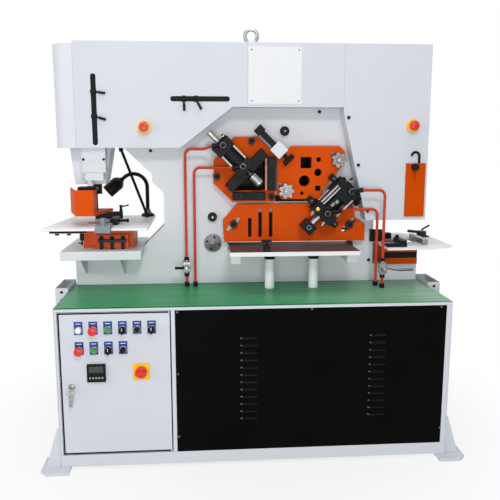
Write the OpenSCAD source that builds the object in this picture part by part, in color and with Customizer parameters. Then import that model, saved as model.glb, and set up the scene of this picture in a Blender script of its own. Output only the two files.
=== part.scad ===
// Hydraulic ironworker: punch, angle shear, section shear, flat shear and notcher on one cabinet.
// Millimetres, +Z up, +X to the right as seen from the front, front towards -Y, origin on the floor.

/* [Cabinet] */
// Length of the cabinet
base_l = 1600; // [1580:5:1640]
// Depth of the cabinet
base_d = 800; // [760:5:860]
// Height of the bench, mat included
base_h = 675; // [650:5:720]
// Section of the corner posts
post_w = 40; // [35:1:45]
// Thickness of the bench plate
bench_t = 12; // [10:1:16]
// Thickness of the bench mat
mat_t = 3; // [2:0.5:4]
// Thickness of the cabinet sheets
sheet_t = 3; // [2:0.5:4]
// Width of the control door
door_w = 436; // [430:1:440]

/* [Feet] */
// Length of a foot plate
foot_l = 115; // [110:1:125]
// Depth of a foot plate
foot_d = 165; // [155:1:180]
// Thickness of a foot plate
foot_t = 12; // [10:1:15]
// Diameter of the anchor holes
anchor_d = 18; // [14:1:22]
// Spacing of the anchor holes along the machine
anchor_l = 1680; // [1670:1:1690]
// Spacing of the anchor holes across the machine
anchor_w = 660; // [650:1:680]

/* [Frame] */
// Overall thickness of the two-plate frame
frame_t = 150; // [146:1:160]
// Thickness of each frame plate
side_t = 30; // [26:1:32]
// Thickness of the moving shear beam
beam_t = 80; // [70:1:82]
// Throat of the punch, from its axis to the frame
throat_depth = 314; // [300:2:330]
// Height of the head's underside above the bench
head_h = 615; // [610:1:630]
// Height of the head's top above the bench
top_h = 1055; // [1040:5:1100]
// Depth of the covers in front of the frame
cover_out = 87; // [80:1:95]
// Thickness of the work plates at the shear stations
work_t = 25; // [20:1:28]

/* [Hydraulics] */
// Diameter of the ram at the punch
ram_d = 90; // [80:2:100]
// Diameter of the punch tip
punch_d = 22; // [16:1:26]
// Outside diameter of the punch cylinder
punch_cyl_d = 140; // [130:2:146]
// Diameter of the shear cylinder's rod
shear_rod_d = 60; // [50:2:70]
// Diameter of the oil pipes
pipe_d = 12; // [10:1:14]
// Diameter of the clamp rods
clamp_rod_d = 30; // [26:1:34]

/* [Tables] */
// Length of the punch table
punch_table_l = 452; // [440:1:470]
// Depth of the punch table
punch_table_d = 505; // [490:1:520]
// Thickness of the punch table
punch_table_t = 10; // [8:1:14]
// Length of the feed table
feed_table_l = 555; // [540:1:570]
// Reach of the feed table in front of the frame
feed_table_d = 240; // [220:1:260]
// Thickness of the feed table
feed_table_t = 12; // [10:1:16]
// Diameter of the support posts
post_d = 42; // [36:1:50]

/* [Controls] */
// Diameter of the emergency stop heads
estop_d = 40; // [36:1:44]
// Diameter of the button barrels
button_d = 22; // [20:1:23]
// Diameter of the star knobs
star_d = 70; // [60:1:76]

/* [Hidden] */
$fn = 64;

// Clearances
fit = 0.3;
run = 0.05;
over = 1;
far = 3000;

// Cabinet
bench_z = base_h - mat_t;
bench_low = bench_z - bench_t;
rail_h = 50;
rail_t = 20;
post_back = 22;
edge_gap = 2;
edge_w = 24;
front_y = -base_d / 2;
half_l = base_l / 2;
foot_out = foot_l - post_w;
foot_front = 50;
foot_chamfer = 28;
anchor_edge = 35;
gusset_h = 170;
gusset_t = 10;
gusset_l = 60;
gusset_top = 12;
gusset_back = 25;
tray_l = 55;
tray_d = 185;
tray_h = 70;
tray_rise = 15;
tray_y = -15;

// Door and panel
door_gap = 15;
door_x0 = -half_l + door_gap;
door_x1 = door_x0 + door_w;
door_low_gap = 4;
door_top_gap = 2;
door_z0 = foot_t + rail_h + door_low_gap;
door_z1 = bench_low - door_top_gap;
door_h = door_z1 - door_z0;
door_t = 2;
door_fold = 18;
hinge_pin = 20;
hinge_in = 8;
hinge_x = door_x1 - hinge_in;
hinge_y = front_y + hinge_in;
hinge_r = 4;
door_post_gap = 5;
door_post_w = 16;
panel_x0 = door_x1 + door_post_gap + door_post_w + fit;
panel_x1 = half_l - edge_w - fit;
panel_fold = 15;
louvre_n = 12;
louvre_l = 66;
louvre_pitch = 31;
louvre_low = 134;
louvre_h = 12;
louvre_out = 7;
louvre_slot = 6;
louvre_x_shares = [0.236, 0.713];

// Door controls
control_n = 6;
row_2_n = 4;
control_x = 80;
control_end = 71;
control_pitch = (door_w - control_x - control_end) / (control_n - 1);
row_1_drop = 71;
row_2_drop = 153;
row_1_z = door_z1 - row_1_drop;
row_2_z = door_z1 - row_2_drop;
barrel_r = button_d / 2;
bezel_r = 15;
bezel_t = 4;
barrel_back = 42;
barrel_nut = 6;
mushroom_r = 17;
mushroom_t = 12;
mushroom_out = 28;
cap_out = 12;
selector_r = 14;
selector_out = 16;
selector_bar = 7;
selector_bar_out = 9;
timer_w = 72;
timer_out = 12;
timer_back = 60;
timer_x = 144;
timer_drop = 246;
switch_w = 65;
switch_in = 116;
switch_x = door_w - switch_in;
switch_r = 23;
switch_out = 14;
switch_bar = 12;
switch_shaft_r = 8;
lamp_lens_r = 11;
lamp_lens_out = 10;
lock_x = 44;
lock_drop = 305;
lock_r = 11;
lock_out = 8;
key_t = 2.5;
key_r = 13;
key_neck = 9;
key_ring_r = 14;
key_hang = 46;

// Frame
frame_y = 95;
frame_inset = 14;
frame_x0 = -half_l + frame_inset;
frame_x1 = half_l - frame_inset;
ff = frame_y - frame_t / 2;
fr = frame_y + frame_t / 2;
punch_inset = 100;
punch_x = -half_l + punch_inset;
throat_x = punch_x + throat_depth;
throat_jog = 50;
throat_foot = 95;
throat_lip = 170;
jaw_h = 136;
throat_z_low_offset = 270;
throat_z_low = base_h + throat_z_low_offset;
throat_z_mid_offset = 145;
throat_z_mid = throat_z_low + throat_z_mid_offset;
throat_z_jog = throat_z_mid + throat_jog;
throat_z_lip_offset = 33;
throat_z_lip = throat_z_jog + throat_z_lip_offset;
head_z = base_h + head_h;
top_z = base_h + top_h;
head_x0_offset = 88;
head_x0 = punch_x + head_x0_offset;
head_x1_offset = 30;
head_x1 = half_l - head_x1_offset;
head_top_gap = 30;
notch_x_offset = 225;
notch_x = half_l - notch_x_offset;
notch_jaw_h = 81;
notch_open_h = 310;
notch_z = base_h + notch_jaw_h;
core_y = ff + side_t;
core_t = frame_t - 2 * side_t;

// Covers
cover_t = 2.5;
cover_y0 = ff - cover_out;
cover_d = frame_t + 2 * cover_out;
cover_x0_offset = 45;
cover_x0 = punch_x - cover_x0_offset;
left_flat_x_offset = 395;
left_flat_x = punch_x + left_flat_x_offset;
left_rise_x_offset = 225;
left_rise_x = left_flat_x + left_rise_x_offset;
middle_z_offset = 173;
middle_z = head_z + middle_z_offset;
middle_x0_offset = 65;
middle_x0 = left_rise_x + middle_x0_offset;
middle_x1_offset = 396;
middle_x1 = half_l - middle_x1_offset;
right_x1_offset = 13;
right_x1 = half_l - right_x1_offset;
right_low_z_offset = 295;
right_low_z = base_h + right_low_z_offset;
right_low_x_offset = 111;
right_low_x = middle_x1 + right_low_x_offset;
right_knee_drop = 22;
shroud_r = 97;
shroud_drop = 10;
slot_w = 22;
v_slot_x_offset = 36;
v_slot_x = punch_x + v_slot_x_offset;
v_slot_rise = 22;
v_slot_l = 275;
h_slot_z_offset = 206;
h_slot_z = head_z + h_slot_z_offset;
h_slot_x0_offset = 28;
h_slot_x0 = left_flat_x - h_slot_x0_offset;
h_slot_l = 231;
estop_plate_r = 30;
estop_plate_t = 12;
estop_out = 22;
estop_head_t = 14;
estop_stem_r = 11;
estop_left_x_offset = 243;
estop_left_x = punch_x + estop_left_x_offset;
estop_left_z_offset = 87;
estop_left_z = head_z + estop_left_z_offset;
estop_right_x_offset = 75;
estop_right_x = right_x1 - estop_right_x_offset;
estop_right_z_offset = 95;
estop_right_z = head_z + estop_right_z_offset;
stop_stud_r = 9;
stop_lever = 48;
stop_lever_w = 16;
stop_lever_t = 12;
stop_washer_r = 16;
stop_washer_t = 4;
stop_high_share = 0.77;
stop_low_share = 0.4;
stop_near_share = 0.2;
stop_next_share = 0.42;

// Punch station
nose_w = 178;
nose_low_w = 130;
nose_h = 159;
nose_shift = 7;
nose_z = head_z - nose_h;
guide_w = 100;
guide_d = 60;
guide_h = 105;
guide_x_offset = 21;
guide_x = punch_x + guide_x_offset;
guide_rod_r = 12;
guide_rod_y = ff - guide_d / 2;
punch_cyl_h = 330;
punch_cyl_cap = 20;
holder_r = 32;
holder_h = 70;
punch_l = 80;
punch_tip_z_offset = 328;
punch_tip_z = base_h + punch_tip_z_offset;
ram_r = ram_d / 2;
bed_l = 344;
bed_x_offset = 126;
bed_x = punch_x - bed_x_offset;
bed_t = 39;
bed_out = 132;
bed_slot = 18;
bed_slot_d = 14;
slug_r = 18;
die_l = 221;
die_x_offset = 45;
die_x = punch_x - die_x_offset;
die_d = 190;
die_h = 72;
die_front_x_offset = 18;
die_front_x = punch_x + die_front_x_offset;
die_front_l = 140;
die_front_d = 40;
die_front_h = 60;
die_ring_r = 30;
die_clear = 0.6;
die_drop = 2;
clamp_bar_h = 12;
clamp_bar_d = 16;
stud_r = 8;
stud_out = 14;
table_z_offset = 275;
table_z = base_h + table_z_offset;
table_x_offset = 202;
table_x = punch_x - table_x_offset;
table_y_offset = 140;
table_y = ff - table_y_offset;
table_skew_share = 0.11;
table_hole_r = 40;
table_leg_w = 36;
bracket_l = 150;
bracket_h = 12;
stripper_w = 80;
stripper_x_offset = 63;
stripper_x = punch_x - stripper_x_offset;
stripper_h = 113;
stripper_t = 6;
stripper_z_offset = 322;
stripper_z = base_h + stripper_z_offset;
stripper_y_offset = 80;
stripper_y = ff - stripper_y_offset;
stripper_d = 170;
stripper_wing = 52;
stripper_bar_h = 14;
stripper_hole_r = 20;
fence_x_offset = 32;
fence_x = punch_x + fence_x_offset;
fence_w = 64;
fence_arm_w = 24;
fence_arm_t = 8;
fence_bar_l = 130;
fence_bar_t = 22;
fence_bar_h = 34;
fence_bar_y_offset = 220;
fence_bar_y = ff + fence_bar_y_offset;
fence_lip = 30;
fence_drop = 16;
fence_bar_share = 0.62;
fence_grip_r = 13;

// Lamp on the punch table
lamp_in = 36;
lamp_x = table_x + punch_table_l - lamp_in;
lamp_back = 42;
lamp_y = table_y + punch_table_d - lamp_back;
lamp_base_r = 32;
lamp_base_h = 14;
neck_r = 10;
neck_collar = 4;
neck_up = 130;
neck_bend = 66;
neck_angle = 126;
lamp_head_r = 33;
lamp_head_l = 92;
lamp_cap_l = 22;
cable_r = 7;
cable_sides = 12;
cable_foot_y = 46;
cable_head_x = 109;
cable_head_y = 105;
gland_r = 12;
gland_h = 16;

// Angle plate and its vee
angle_x_offset = 538;
angle_x = punch_x + angle_x_offset;
angle_w = 274;
angle_z_offset = 376;
angle_z = base_h + angle_z_offset;
angle_h = 287;
angle_shares = [[0.303, 0], [1, 0], [1, 0.725], [0.726, 1], [0.332, 1], [0, 0.638], [0, 0.282]];
angle_bolt_shares = [[0.613, 0.937], [0.051, 0.397], [0.938, 0.077]];
vee_w = 166;
vee_h = 172;
vee_side = 45;
vee_floor = 51;
vee_x = angle_x + angle_w - vee_side;
vee_z = angle_z + vee_floor;
vee_pad = 3;
angle_leg = 30;

// Shear pivot and beam
pivot_x_offset = 532;
pivot_x = punch_x + pivot_x_offset;
pivot_z_offset = 188;
pivot_z = base_h + pivot_z_offset;
pivot_r = 30;
pivot_cap_r = 40;
pivot_cap_t = 10;
beam_y = frame_y - beam_t / 2;
beam_boss_r = 62;
blade_x0_offset = 73;
blade_x0 = pivot_x + blade_x0_offset;
blade_l = 570;
bar_z_offset = 183;
bar_z = base_h + bar_z_offset;
blade_seat_h = 32;
flat_window_h = 99;
flat_window_pad = 6;
pad_share = 0.695;
beam_shares = [
  [0.14, 0], [0.15, 0.145], [0.764, 0.254], [0.78, 0.42], [1.07, 0.44], [1.07, 0.64],
  [1.0, pad_share], [0.86, pad_share], [0.8, 0.74], [0.66, 1.08], [0.24, 1.13], [0.06, 0.64], [0, 0.2],
  [0, 0]];
beam_left = 64;
beam_drop = 63;
rod_in = 160;
rod_x = half_l - rod_in;
beam_top_in = 26;
beam_h = vee_z + vee_h - pivot_z + beam_drop - beam_top_in;
beam_past = 53;
beam_l = rod_x - pivot_x + beam_left + beam_past;
rod_pad_z = pivot_z - beam_drop + pad_share * beam_h;
notch_punch_w = 90;
notch_punch_in = 156;
notch_punch_x = half_l - notch_punch_in;
notch_punch_z_offset = 303;
notch_punch_z = base_h + notch_punch_z_offset;
notch_punch_h = 95;
shear_cyl_d = 130;
shear_cyl_h = 330;
shear_cyl_z_offset = 130;
shear_cyl_z = rod_pad_z + shear_cyl_z_offset;
shear_eye_h = 40;
cyl_window_w = 150;

// Work plates
standoff = 10;
work_y = ff - standoff - work_t;
bolt_r = 10;
bolt_head_r = 16;
bolt_head_t = 14;
boss_r = 18;
section_x_offset = 821;
section_x = punch_x + section_x_offset;
section_w = 306;
section_z_offset = 387;
section_z = base_h + section_z_offset;
section_h = 235;
section_shares = [
  [0.069, 0], [0.66, 0], [0.66, 0.145], [1, 0.694], [1, 0.889], [0.915, 1], [0.206, 1], [0, 0.77],
  [0, 0.098]];
section_round_shares = [[0.608, 0.749], [0.601, 0.506], [0.399, 0.345], [0.366, 0.111]];
section_round_r = [11, 17, 25, 8];
section_square_shares = [[0.423, 0.691], [0.601, 0.204]];
section_square_w = [50, 24];
section_slot_shares = [[0.131, 0.157], [0.899, 0.74]];
section_slot_l = 40;
section_slot_w = 19;
section_window_shares = [[0.31, 0.04], [0.69, 0.88]];
beam_hole_pad = 1;
flat_x_offset = 577;
flat_x = punch_x + flat_x_offset;
flat_w = 648;
flat_z_offset = 195;
flat_z = base_h + flat_z_offset;
flat_h = 201;
flat_shares = [
  [0.009, 0], [1, 0], [1, 0.373], [0.93, 0.53], [0.897, 1], [0.85, 0.85], [0.1, 0.85], [0, 0.493]];
flat_slot_shares = [[0.187, 0.139, 0.502], [0.259, 0.134, 0.706], [0.333, 0.134, 0.706]];
flat_slot_w = 16;
guide_slot_shares = [[0.074, 0.403], [0.887, 0.373]];
guide_slot_up = 28;
guide_slot_down = 34;
guide_slot_w = 21;

// Fixed blocks and clamps
rest_t = 30;
rest_h = 35;
rest_l = 147;
rest_gap = 6;
rest_v_l = 149;
rest_v_gap = 10;
clamp_l = 168;
clamp_w = 88;
clamp_d = 80;
clamp_a_x_offset = 145;
clamp_a_x = vee_x - clamp_a_x_offset;
clamp_a_z_offset = 150;
clamp_a_z = vee_z + clamp_a_z_offset;
clamp_flange_l = 226;
clamp_flange_t = 22;
clamp_tail = 62;
clamp_tail_r = 12;
clamp_bore_up = 74;
clamp_rod_up = 26;
clamp_flange_d = 56;
clamp_back = 2;
clamp_top_l = 50;
clamp_low_l = 44;
clamp_barrel_r = 35;
clamp_nose_r = 22;
clamp_nose_l = 58;
clamp_tip_r = 13;
clamp_tip_l = 10;
clamp_pocket = 28;
clamp_gap = 5;
clamp_f_x_offset = 249;
clamp_f_x = section_x + clamp_f_x_offset;
clamp_f_z_offset = 7;
clamp_f_z = section_z - clamp_f_z_offset;
clamp_f_l = 190;
clamp_f_w = 112;
clamp_f_d = 88;
clamp_f_reach = 66;
clamp_f_top_l = 72;
clamp_f_low_l = 50;
clamp_f_barrel_r = 40;
clamp_ear = 34;
clamp_ear_t = 26;
shoe_w = 58;
shoe_l = 46;
bracket_r = 22;
bar_w = 26;
bar_len = 150;
bar_block = 56;
bar_block_d = 44;
bar_x_offset = 57;
bar_x = vee_x + bar_x_offset;
bar_zc_offset = 179;
bar_zc = vee_z + bar_zc_offset;
bar_post_r = 13;
bar_post_in = 6;
knob_neck = 34;
knob_neck_r = 8;
knob_bar_r = 9;
knob_bar_l = 44;
star_t = 22;
star_lobes = 7;
star_lobe_share = 0.27;

// Pipes and valves
pipe_r = pipe_d / 2;
bend_r = 26;
pipe_a_x_offset = 413;
pipe_a_x = punch_x + pipe_a_x_offset;
pipe_b_x_offset = 451;
pipe_b_x = punch_x + pipe_b_x_offset;
pipe_c_x_offset = 1279;
pipe_c_x = punch_x + pipe_c_x_offset;
pipe_d_x_offset = 1261;
pipe_d_x = punch_x + pipe_d_x_offset;
pipe_left_y_offset = 60;
pipe_left_y = ff - pipe_left_y_offset;
pipe_c_y_offset = 67;
pipe_c_y = cover_y0 - pipe_c_y_offset;
pipe_d_y_offset = 23;
pipe_d_y = cover_y0 - pipe_d_y_offset;
pipe_a_h = 610;
pipe_b_h = 529;
pipe_c_h = 434;
pipe_d_h = 346;
pipe_a_run = 84;
pipe_b_run = 128;
pipe_c_run = 84;
pipe_d_run = 128;
nut_r = 11;
nut_l = 16;
valve_w = 46;
valve_d = 34;
valve_h = 52;
valve_up = 64;
valve_stem_r = 7;
valve_stem_l = 14;
lever_l = 52;
lever_long = 128;
lever_w = 12;
lever_t = 6;

// Feed table
feed_x_offset = 5;
feed_x = blade_x0 - feed_x_offset;
lip_h = 19;
lip_t = 6;
arm_w = 40;
arm_h = 46;
arm_in = 6;
post_x_shares = [0.324, 0.677];
post_y_offset = 118;
post_y = ff - post_y_offset;
stop_w = 26;
stop_d = 60;
stop_h = 26;
stop_x_share = 0.26;

// Notch station
notch_l = 164;
notch_bed_x_offset = 39;
notch_bed_x = notch_x + notch_bed_x_offset;
notch_bed_out = 30;
notch_bed_h = 86;
notch_groove_d = 24;
die_hole_l = 150;
die_hole_gap = 6;
notch_table_t = 8;
notch_table_x_offset = 27;
notch_table_x = notch_x + notch_table_x_offset;
notch_table_l = 316;
notch_table_y_offset = 150;
notch_table_y = ff - notch_table_y_offset;
notch_table_d = 493;
notch_table_shares = [[0, 0], [0.62, 0], [1, 0.12], [1, 0.75], [0.6, 1], [0, 0.9]];
notch_fence_x_offset = 190;
notch_fence_x = notch_table_x + notch_fence_x_offset;
notch_fence_w = 24;
notch_fence_l = 200;
notch_fence_h = 24;
notch_fence_y_offset = 60;
notch_fence_y = ff - notch_fence_y_offset;
lever_share = 0.73;
lever_post_r = 24;
lever_post_h = 30;
lever_grip_l = 70;
lever_grip_r = 7;
guard_w = 88;
guard_h = 236;
guard_t = 8;
guard_x_offset = 99;
guard_x = right_x1 - guard_x_offset;
guard_z_offset = 16;
guard_z = right_low_z + guard_z_offset;
guard_knob_x = 37;
guard_knob_drop = 16;
guard_knob_r = 16;
guard_knob_t = 20;
guard_stud_r = 6;
guard_slot_w = 13;
guard_travel = 60;
hook_r = 5;
hook_h = 54;
hook_bend = 17;
hook_in = 58;

// Fasteners and inner units
hex_r = 20;
hex_t = 16;
washer_r = 27;
washer_t = 4;
eye_ring_r = 28;
eye_wire_r = 8;
eye_foot_r = 24;
eye_foot_h = 14;
eye_x_offset = 27;
eye_x = middle_x0 + eye_x_offset;
cover_bolt_r = 7;
cover_bolt_t = 6;
cover_bolt_shares = [0.045, 0.48, 0.91];
cover_bolt_in = 16;
hex_high_x = 856;
hex_high_z = 688;
hex_low_x = 531;
hex_low_z = 306;
hex_places = [[punch_x + hex_high_x, base_h + hex_high_z], [punch_x + hex_low_x, base_h + hex_low_z]];
frame_bolt_high_x = 1012;
frame_bolt_high_z = 773;
frame_bolt_left_x = 261;
frame_bolt_left_z = 602;
frame_bolt_low_x = 1256;
frame_bolt_low_z = 98;
frame_bolt_places = [
  [punch_x + frame_bolt_high_x, base_h + frame_bolt_high_z],
  [punch_x + frame_bolt_left_x, base_h + frame_bolt_left_z],
  [punch_x + frame_bolt_low_x, base_h + frame_bolt_low_z]];
tank_l = 560;
tank_d = 420;
tank_h = 280;
tank_x = -120;
motor_r = 95;
motor_l = 300;
motor_foot_h = 12;
unit_gap = 60;
board_l = 380;
board_h = 500;
board_t = 3;
board_back = 210;
board_foot = 40;
relay_w = 45;
relay_h = 80;
relay_d = 70;
relay_n = 5;
relay_pitch = 66;

// Shapes

module block(at, size) {
  translate(at) cube(size);
}

// A bar between two points
module rod(from, to, r) {
  v = to - from;
  translate(from)
    rotate([0, acos(v[2] / norm(v)), atan2(v[1], v[0])])
      cylinder(r = r, h = norm(v));
}

// A cylinder along +Y
module pin_y(at, r, l) {
  translate(at) rotate([-90, 0, 0]) cylinder(r = r, h = l);
}

// An outline in X and Z, given thickness along +Y
module slab(points, y, t) {
  translate([0, y + t, 0]) rotate([90, 0, 0]) linear_extrude(t) polygon(points);
}

// A box along the 45 degree clamp lines, centred on its axis, length downwards
module slant(x, z, turn, w, l, y, d) {
  translate([x, y, z])
    rotate([0, turn, 0])
      translate([-w / 2, 0, -l])
        cube([w, d, l]);
}

// A slot with round ends, cut through along Y
module slot_y(x, z, turn, up, down, w, y, t) {
  translate([x, y, z])
    rotate([0, turn, 0])
      union() {
        translate([-w / 2, 0, -down]) cube([w, t, up + down]);
        pin_y([0, 0, up], w / 2, t);
        pin_y([0, 0, -down], w / 2, t);
      }
}

function placed(shares, x, z, w, h) = [for (s = shares) [x + s[0] * w, z + s[1] * h]];
function side_normal(a, b) = let(u = (b - a) / norm(b - a)) [-u[1], u[0]];
// The same outline, drawn in by d
function inset(p, d) = [
  for (i = [0:len(p) - 1])
    let(
      a = p[(i + len(p) - 1) % len(p)],
      b = p[i],
      c = p[(i + 1) % len(p)],
      m = side_normal(a, b),
      n = side_normal(b, c))
    b + d * (m + n) / (1 + m * n)];

// Outlines
frame_outline = [
  [frame_x0, bench_z], [frame_x1, bench_z], [frame_x1, notch_z], [notch_x, notch_z],
  [notch_x, base_h + notch_open_h], [head_x1, base_h + notch_open_h],
  [head_x1, top_z - head_top_gap], [head_x0, top_z - head_top_gap], [head_x0, head_z],
  [throat_x - throat_lip, head_z], [throat_x - throat_jog, throat_z_lip],
  [throat_x - throat_jog, throat_z_jog], [throat_x, throat_z_mid], [throat_x, throat_z_low],
  [throat_x - throat_foot, throat_z_low - throat_foot],
  [throat_x - throat_foot, base_h + jaw_h], [frame_x0, base_h + jaw_h]];
vee_outline = [[vee_x - vee_w, vee_z], [vee_x, vee_z], [vee_x, vee_z + vee_h]];
angle_slot = [
  [vee_x - vee_w, vee_z - vee_pad], [vee_x + vee_pad, vee_z - vee_pad], [vee_x + vee_pad, vee_z + vee_h],
  [vee_x - angle_leg, vee_z + vee_h], [vee_x - angle_leg, vee_z + angle_leg],
  [vee_x - vee_w, vee_z + angle_leg]];
left_outline = [
  [cover_x0, head_z], [left_flat_x, head_z], [left_rise_x, middle_z], [middle_x0 - fit, middle_z],
  [middle_x0 - fit, top_z], [cover_x0, top_z]];
middle_outline = [
  [middle_x0, middle_z], [middle_x1 - fit, middle_z], [middle_x1 - fit, top_z], [middle_x0, top_z]];
right_outline = [
  [right_low_x, right_low_z], [right_x1, right_low_z], [right_x1, top_z], [middle_x1, top_z],
  [middle_x1, middle_z - right_knee_drop]];
beam_outline = placed(beam_shares, pivot_x - beam_left, pivot_z - beam_drop, beam_l, beam_h);

function on_plate(s, x, z, w, h) = [x + s[0] * w, z + s[1] * h];
function on_section(s) = on_plate(s, section_x, section_z, section_w, section_h);
function on_flat(s) = on_plate(s, flat_x, flat_z, flat_w, flat_h);
function on_angle(s) = on_plate(s, angle_x, angle_z, angle_w, angle_h);
function control_at(i) = door_x0 + control_x + i * control_pitch;

// Cabinet

module foot() {
  hole_x = (anchor_l - base_l) / 2;
  x0 = min(-post_w, hole_x - anchor_edge);
  x1 = max(foot_out, hole_x + anchor_edge);
  difference() {
    union() {
      linear_extrude(foot_t)
        polygon([
          [x0, -foot_front], [x1 - foot_chamfer, -foot_front], [x1, foot_chamfer - foot_front],
          [x1, foot_d - foot_front - foot_chamfer], [x1 - foot_chamfer, foot_d - foot_front],
          [x0, foot_d - foot_front]]);
      slab(
        [[fit, foot_t], [gusset_l, foot_t], [gusset_top + fit, gusset_h], [fit, gusset_h]],
        gusset_back - gusset_t, gusset_t);
    }
    translate([hole_x, (base_d - anchor_w) / 2, -over])
      cylinder(d = anchor_d, h = foot_t + 2 * over);
  }
}

module tray(x) {
  z = base_h + tray_rise - tray_h;
  difference() {
    block([x, tray_y - tray_d / 2, z], [tray_l, tray_d, tray_h]);
    translate([x + sheet_t, tray_y - tray_d / 2 + sheet_t, z + sheet_t])
      cube([tray_l - 2 * sheet_t, tray_d - 2 * sheet_t, tray_h]);
  }
}

module base_cabinet() color("gainsboro") {
  in_x = half_l - sheet_t - fit;
  rail_z = foot_t + fit;
  post_z = rail_z + sheet_t + fit;
  wall_z = rail_z + rail_h + fit;
  wall_h = bench_low - fit - wall_z;
  difference() {
    block([-half_l, front_y, bench_low], [base_l, base_d, bench_t]);
    translate([hinge_x, hinge_y, bench_low - over]) cylinder(r = hinge_r + run, h = over + bench_t / 2);
  }
  for (sx = [0, 1], sy = [0, 1])
    mirror([sx, 0, 0]) mirror([0, sy, 0])
      union() {
        block([in_x - post_w, front_y + post_back, post_z], [post_w, post_w, bench_low - fit - post_z]);
        translate([half_l, front_y, 0]) foot();
      }
  for (sx = [0, 1])
    mirror([sx, 0, 0])
      block([half_l - sheet_t, front_y, rail_z], [sheet_t, base_d, bench_low - fit - rail_z]);
  difference() {
    block([-in_x, front_y, rail_z], [2 * in_x, rail_t, rail_h]);
    translate([hinge_x, hinge_y, foot_t + rail_h / 2]) cylinder(r = hinge_r + run, h = rail_h);
  }
  block([-in_x, -front_y - rail_t, rail_z], [2 * in_x, rail_t, rail_h]);
  block([-in_x, front_y + rail_t + fit, rail_z], [2 * in_x, base_d - 2 * (rail_t + fit), sheet_t]);
  block([-in_x, -front_y - sheet_t, wall_z], [2 * in_x, sheet_t, wall_h]);
  // Edge strips beside the door and the panel, and the post between them
  block([-in_x, front_y, wall_z], [door_x0 - edge_gap + in_x, post_back - fit, wall_h]);
  block([panel_x1 + fit, front_y, wall_z], [in_x - panel_x1 - fit, post_back - fit, wall_h]);
  block([door_x1 + door_post_gap, front_y, wall_z], [door_post_w, rail_t, wall_h]);
  tray(half_l + fit);
  tray(-half_l - fit - tray_l);
}

module bench_mat() color("seagreen")
  block([-half_l, front_y, bench_z], [base_l, ff - fit - front_y, mat_t]);

module louvre_panel() color("black") {
  z0 = foot_t + rail_h + 2 * fit;
  z1 = bench_low - fit;
  difference() {
    union() {
      difference() {
        block([panel_x0, front_y, z0], [panel_x1 - panel_x0, panel_fold, z1 - z0]);
        translate([panel_x0 + door_t, front_y + door_t, z0 + door_t])
          cube([panel_x1 - panel_x0 - 2 * door_t, panel_fold, z1 - z0 - 2 * door_t]);
      }
      for (s = louvre_x_shares, i = [0:louvre_n - 1])
        translate([panel_x0 + s * (panel_x1 - panel_x0), front_y, z0 + louvre_low + i * louvre_pitch])
          rotate([90, 0, 90])
            linear_extrude(louvre_l)
              polygon([[0, louvre_h], [door_t / 2, louvre_h], [door_t / 2, 0], [-louvre_out, 0]]);
    }
    for (s = louvre_x_shares, i = [0:louvre_n - 1])
      translate([
        panel_x0 + s * (panel_x1 - panel_x0) + door_t, front_y - louvre_out + door_t,
        z0 + louvre_low + i * louvre_pitch - over])
        cube([louvre_l - 2 * door_t, louvre_out + over, louvre_slot]);
  }
}

// Frame

module frame_plate(y) {
  difference() {
    slab(frame_outline, y, side_t);
    slab(inset(vee_outline, -vee_pad), y - over, side_t + 2 * over);
    translate([blade_x0 - flat_window_pad, y - over, bar_z - blade_seat_h])
      cube([blade_l + 2 * flat_window_pad, side_t + 2 * over, flat_window_h]);
    translate([
      section_x + section_window_shares[0][0] * section_w, y - over,
      section_z + section_window_shares[0][1] * section_h])
      cube([
        (section_window_shares[1][0] - section_window_shares[0][0]) * section_w, side_t + 2 * over,
        (section_window_shares[1][1] - section_window_shares[0][1]) * section_h]);
    translate([rod_x - cyl_window_w / 2, y - over, shear_cyl_z - over])
      cube([cyl_window_w, side_t + 2 * over, shear_cyl_h + 2 * over]);
    pin_y([pivot_x, y - over, pivot_z], pivot_r + run, side_t + 2 * over);
  }
}

module nose() {
  w0 = nose_low_w / 2;
  difference() {
    slab(
      [[punch_x - w0 - nose_shift, nose_z], [punch_x + w0 - nose_shift, nose_z],
       [head_x0 - fit, head_z], [head_x0 - fit, head_z + head_top_gap],
       [punch_x - nose_w / 2, head_z + head_top_gap], [punch_x - nose_w / 2, head_z]],
      ff, frame_t);
    translate([punch_x, frame_y, nose_z - over])
      cylinder(r = ram_r + run, h = nose_h + head_top_gap + 2 * over);
  }
  difference() {
    block([guide_x - guide_w / 2, ff - guide_d, head_z - guide_h], [guide_w, guide_d - fit, guide_h - fit]);
    translate([punch_x, guide_rod_y, head_z - guide_h - over])
      cylinder(r = guide_rod_r + run, h = guide_h + 2 * over);
  }
}

module main_frame() color("whitesmoke") {
  frame_plate(ff);
  frame_plate(fr - side_t);
  core = core_t - 2 * fit;
  block([frame_x0, core_y + fit, bench_z], [base_l - 2 * frame_inset, core, rail_h]);
  block(
    [throat_x + frame_inset, core_y + fit, base_h + jaw_h],
    [pivot_x - beam_left - throat_x - 2 * frame_inset - rail_t, core, throat_z_jog - base_h - jaw_h]);
  block(
    [head_x0, core_y + fit, top_z - head_top_gap - rail_h],
    [middle_x1 - head_x0, core, rail_h]);
  nose();
  difference() {
    union() {
      slant(
        bar_x - bar_block / sqrt(8), bar_zc + bar_block / sqrt(8), -45, bar_block, bar_block,
        work_y - fit - bar_block_d, bar_block_d);
      pin_y([bar_x - bar_post_in, work_y - fit - over, bar_zc + bar_post_in], bar_post_r, ff - work_y + over);
    }
    slant(
      bar_x - bar_block, bar_zc + bar_block, -45, bar_w + 2 * fit, 2 * bar_len,
      work_y - fit - bar_block_d / 2 - bar_w / 2 - fit, bar_w + 2 * fit);
  }
}

// Covers

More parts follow.
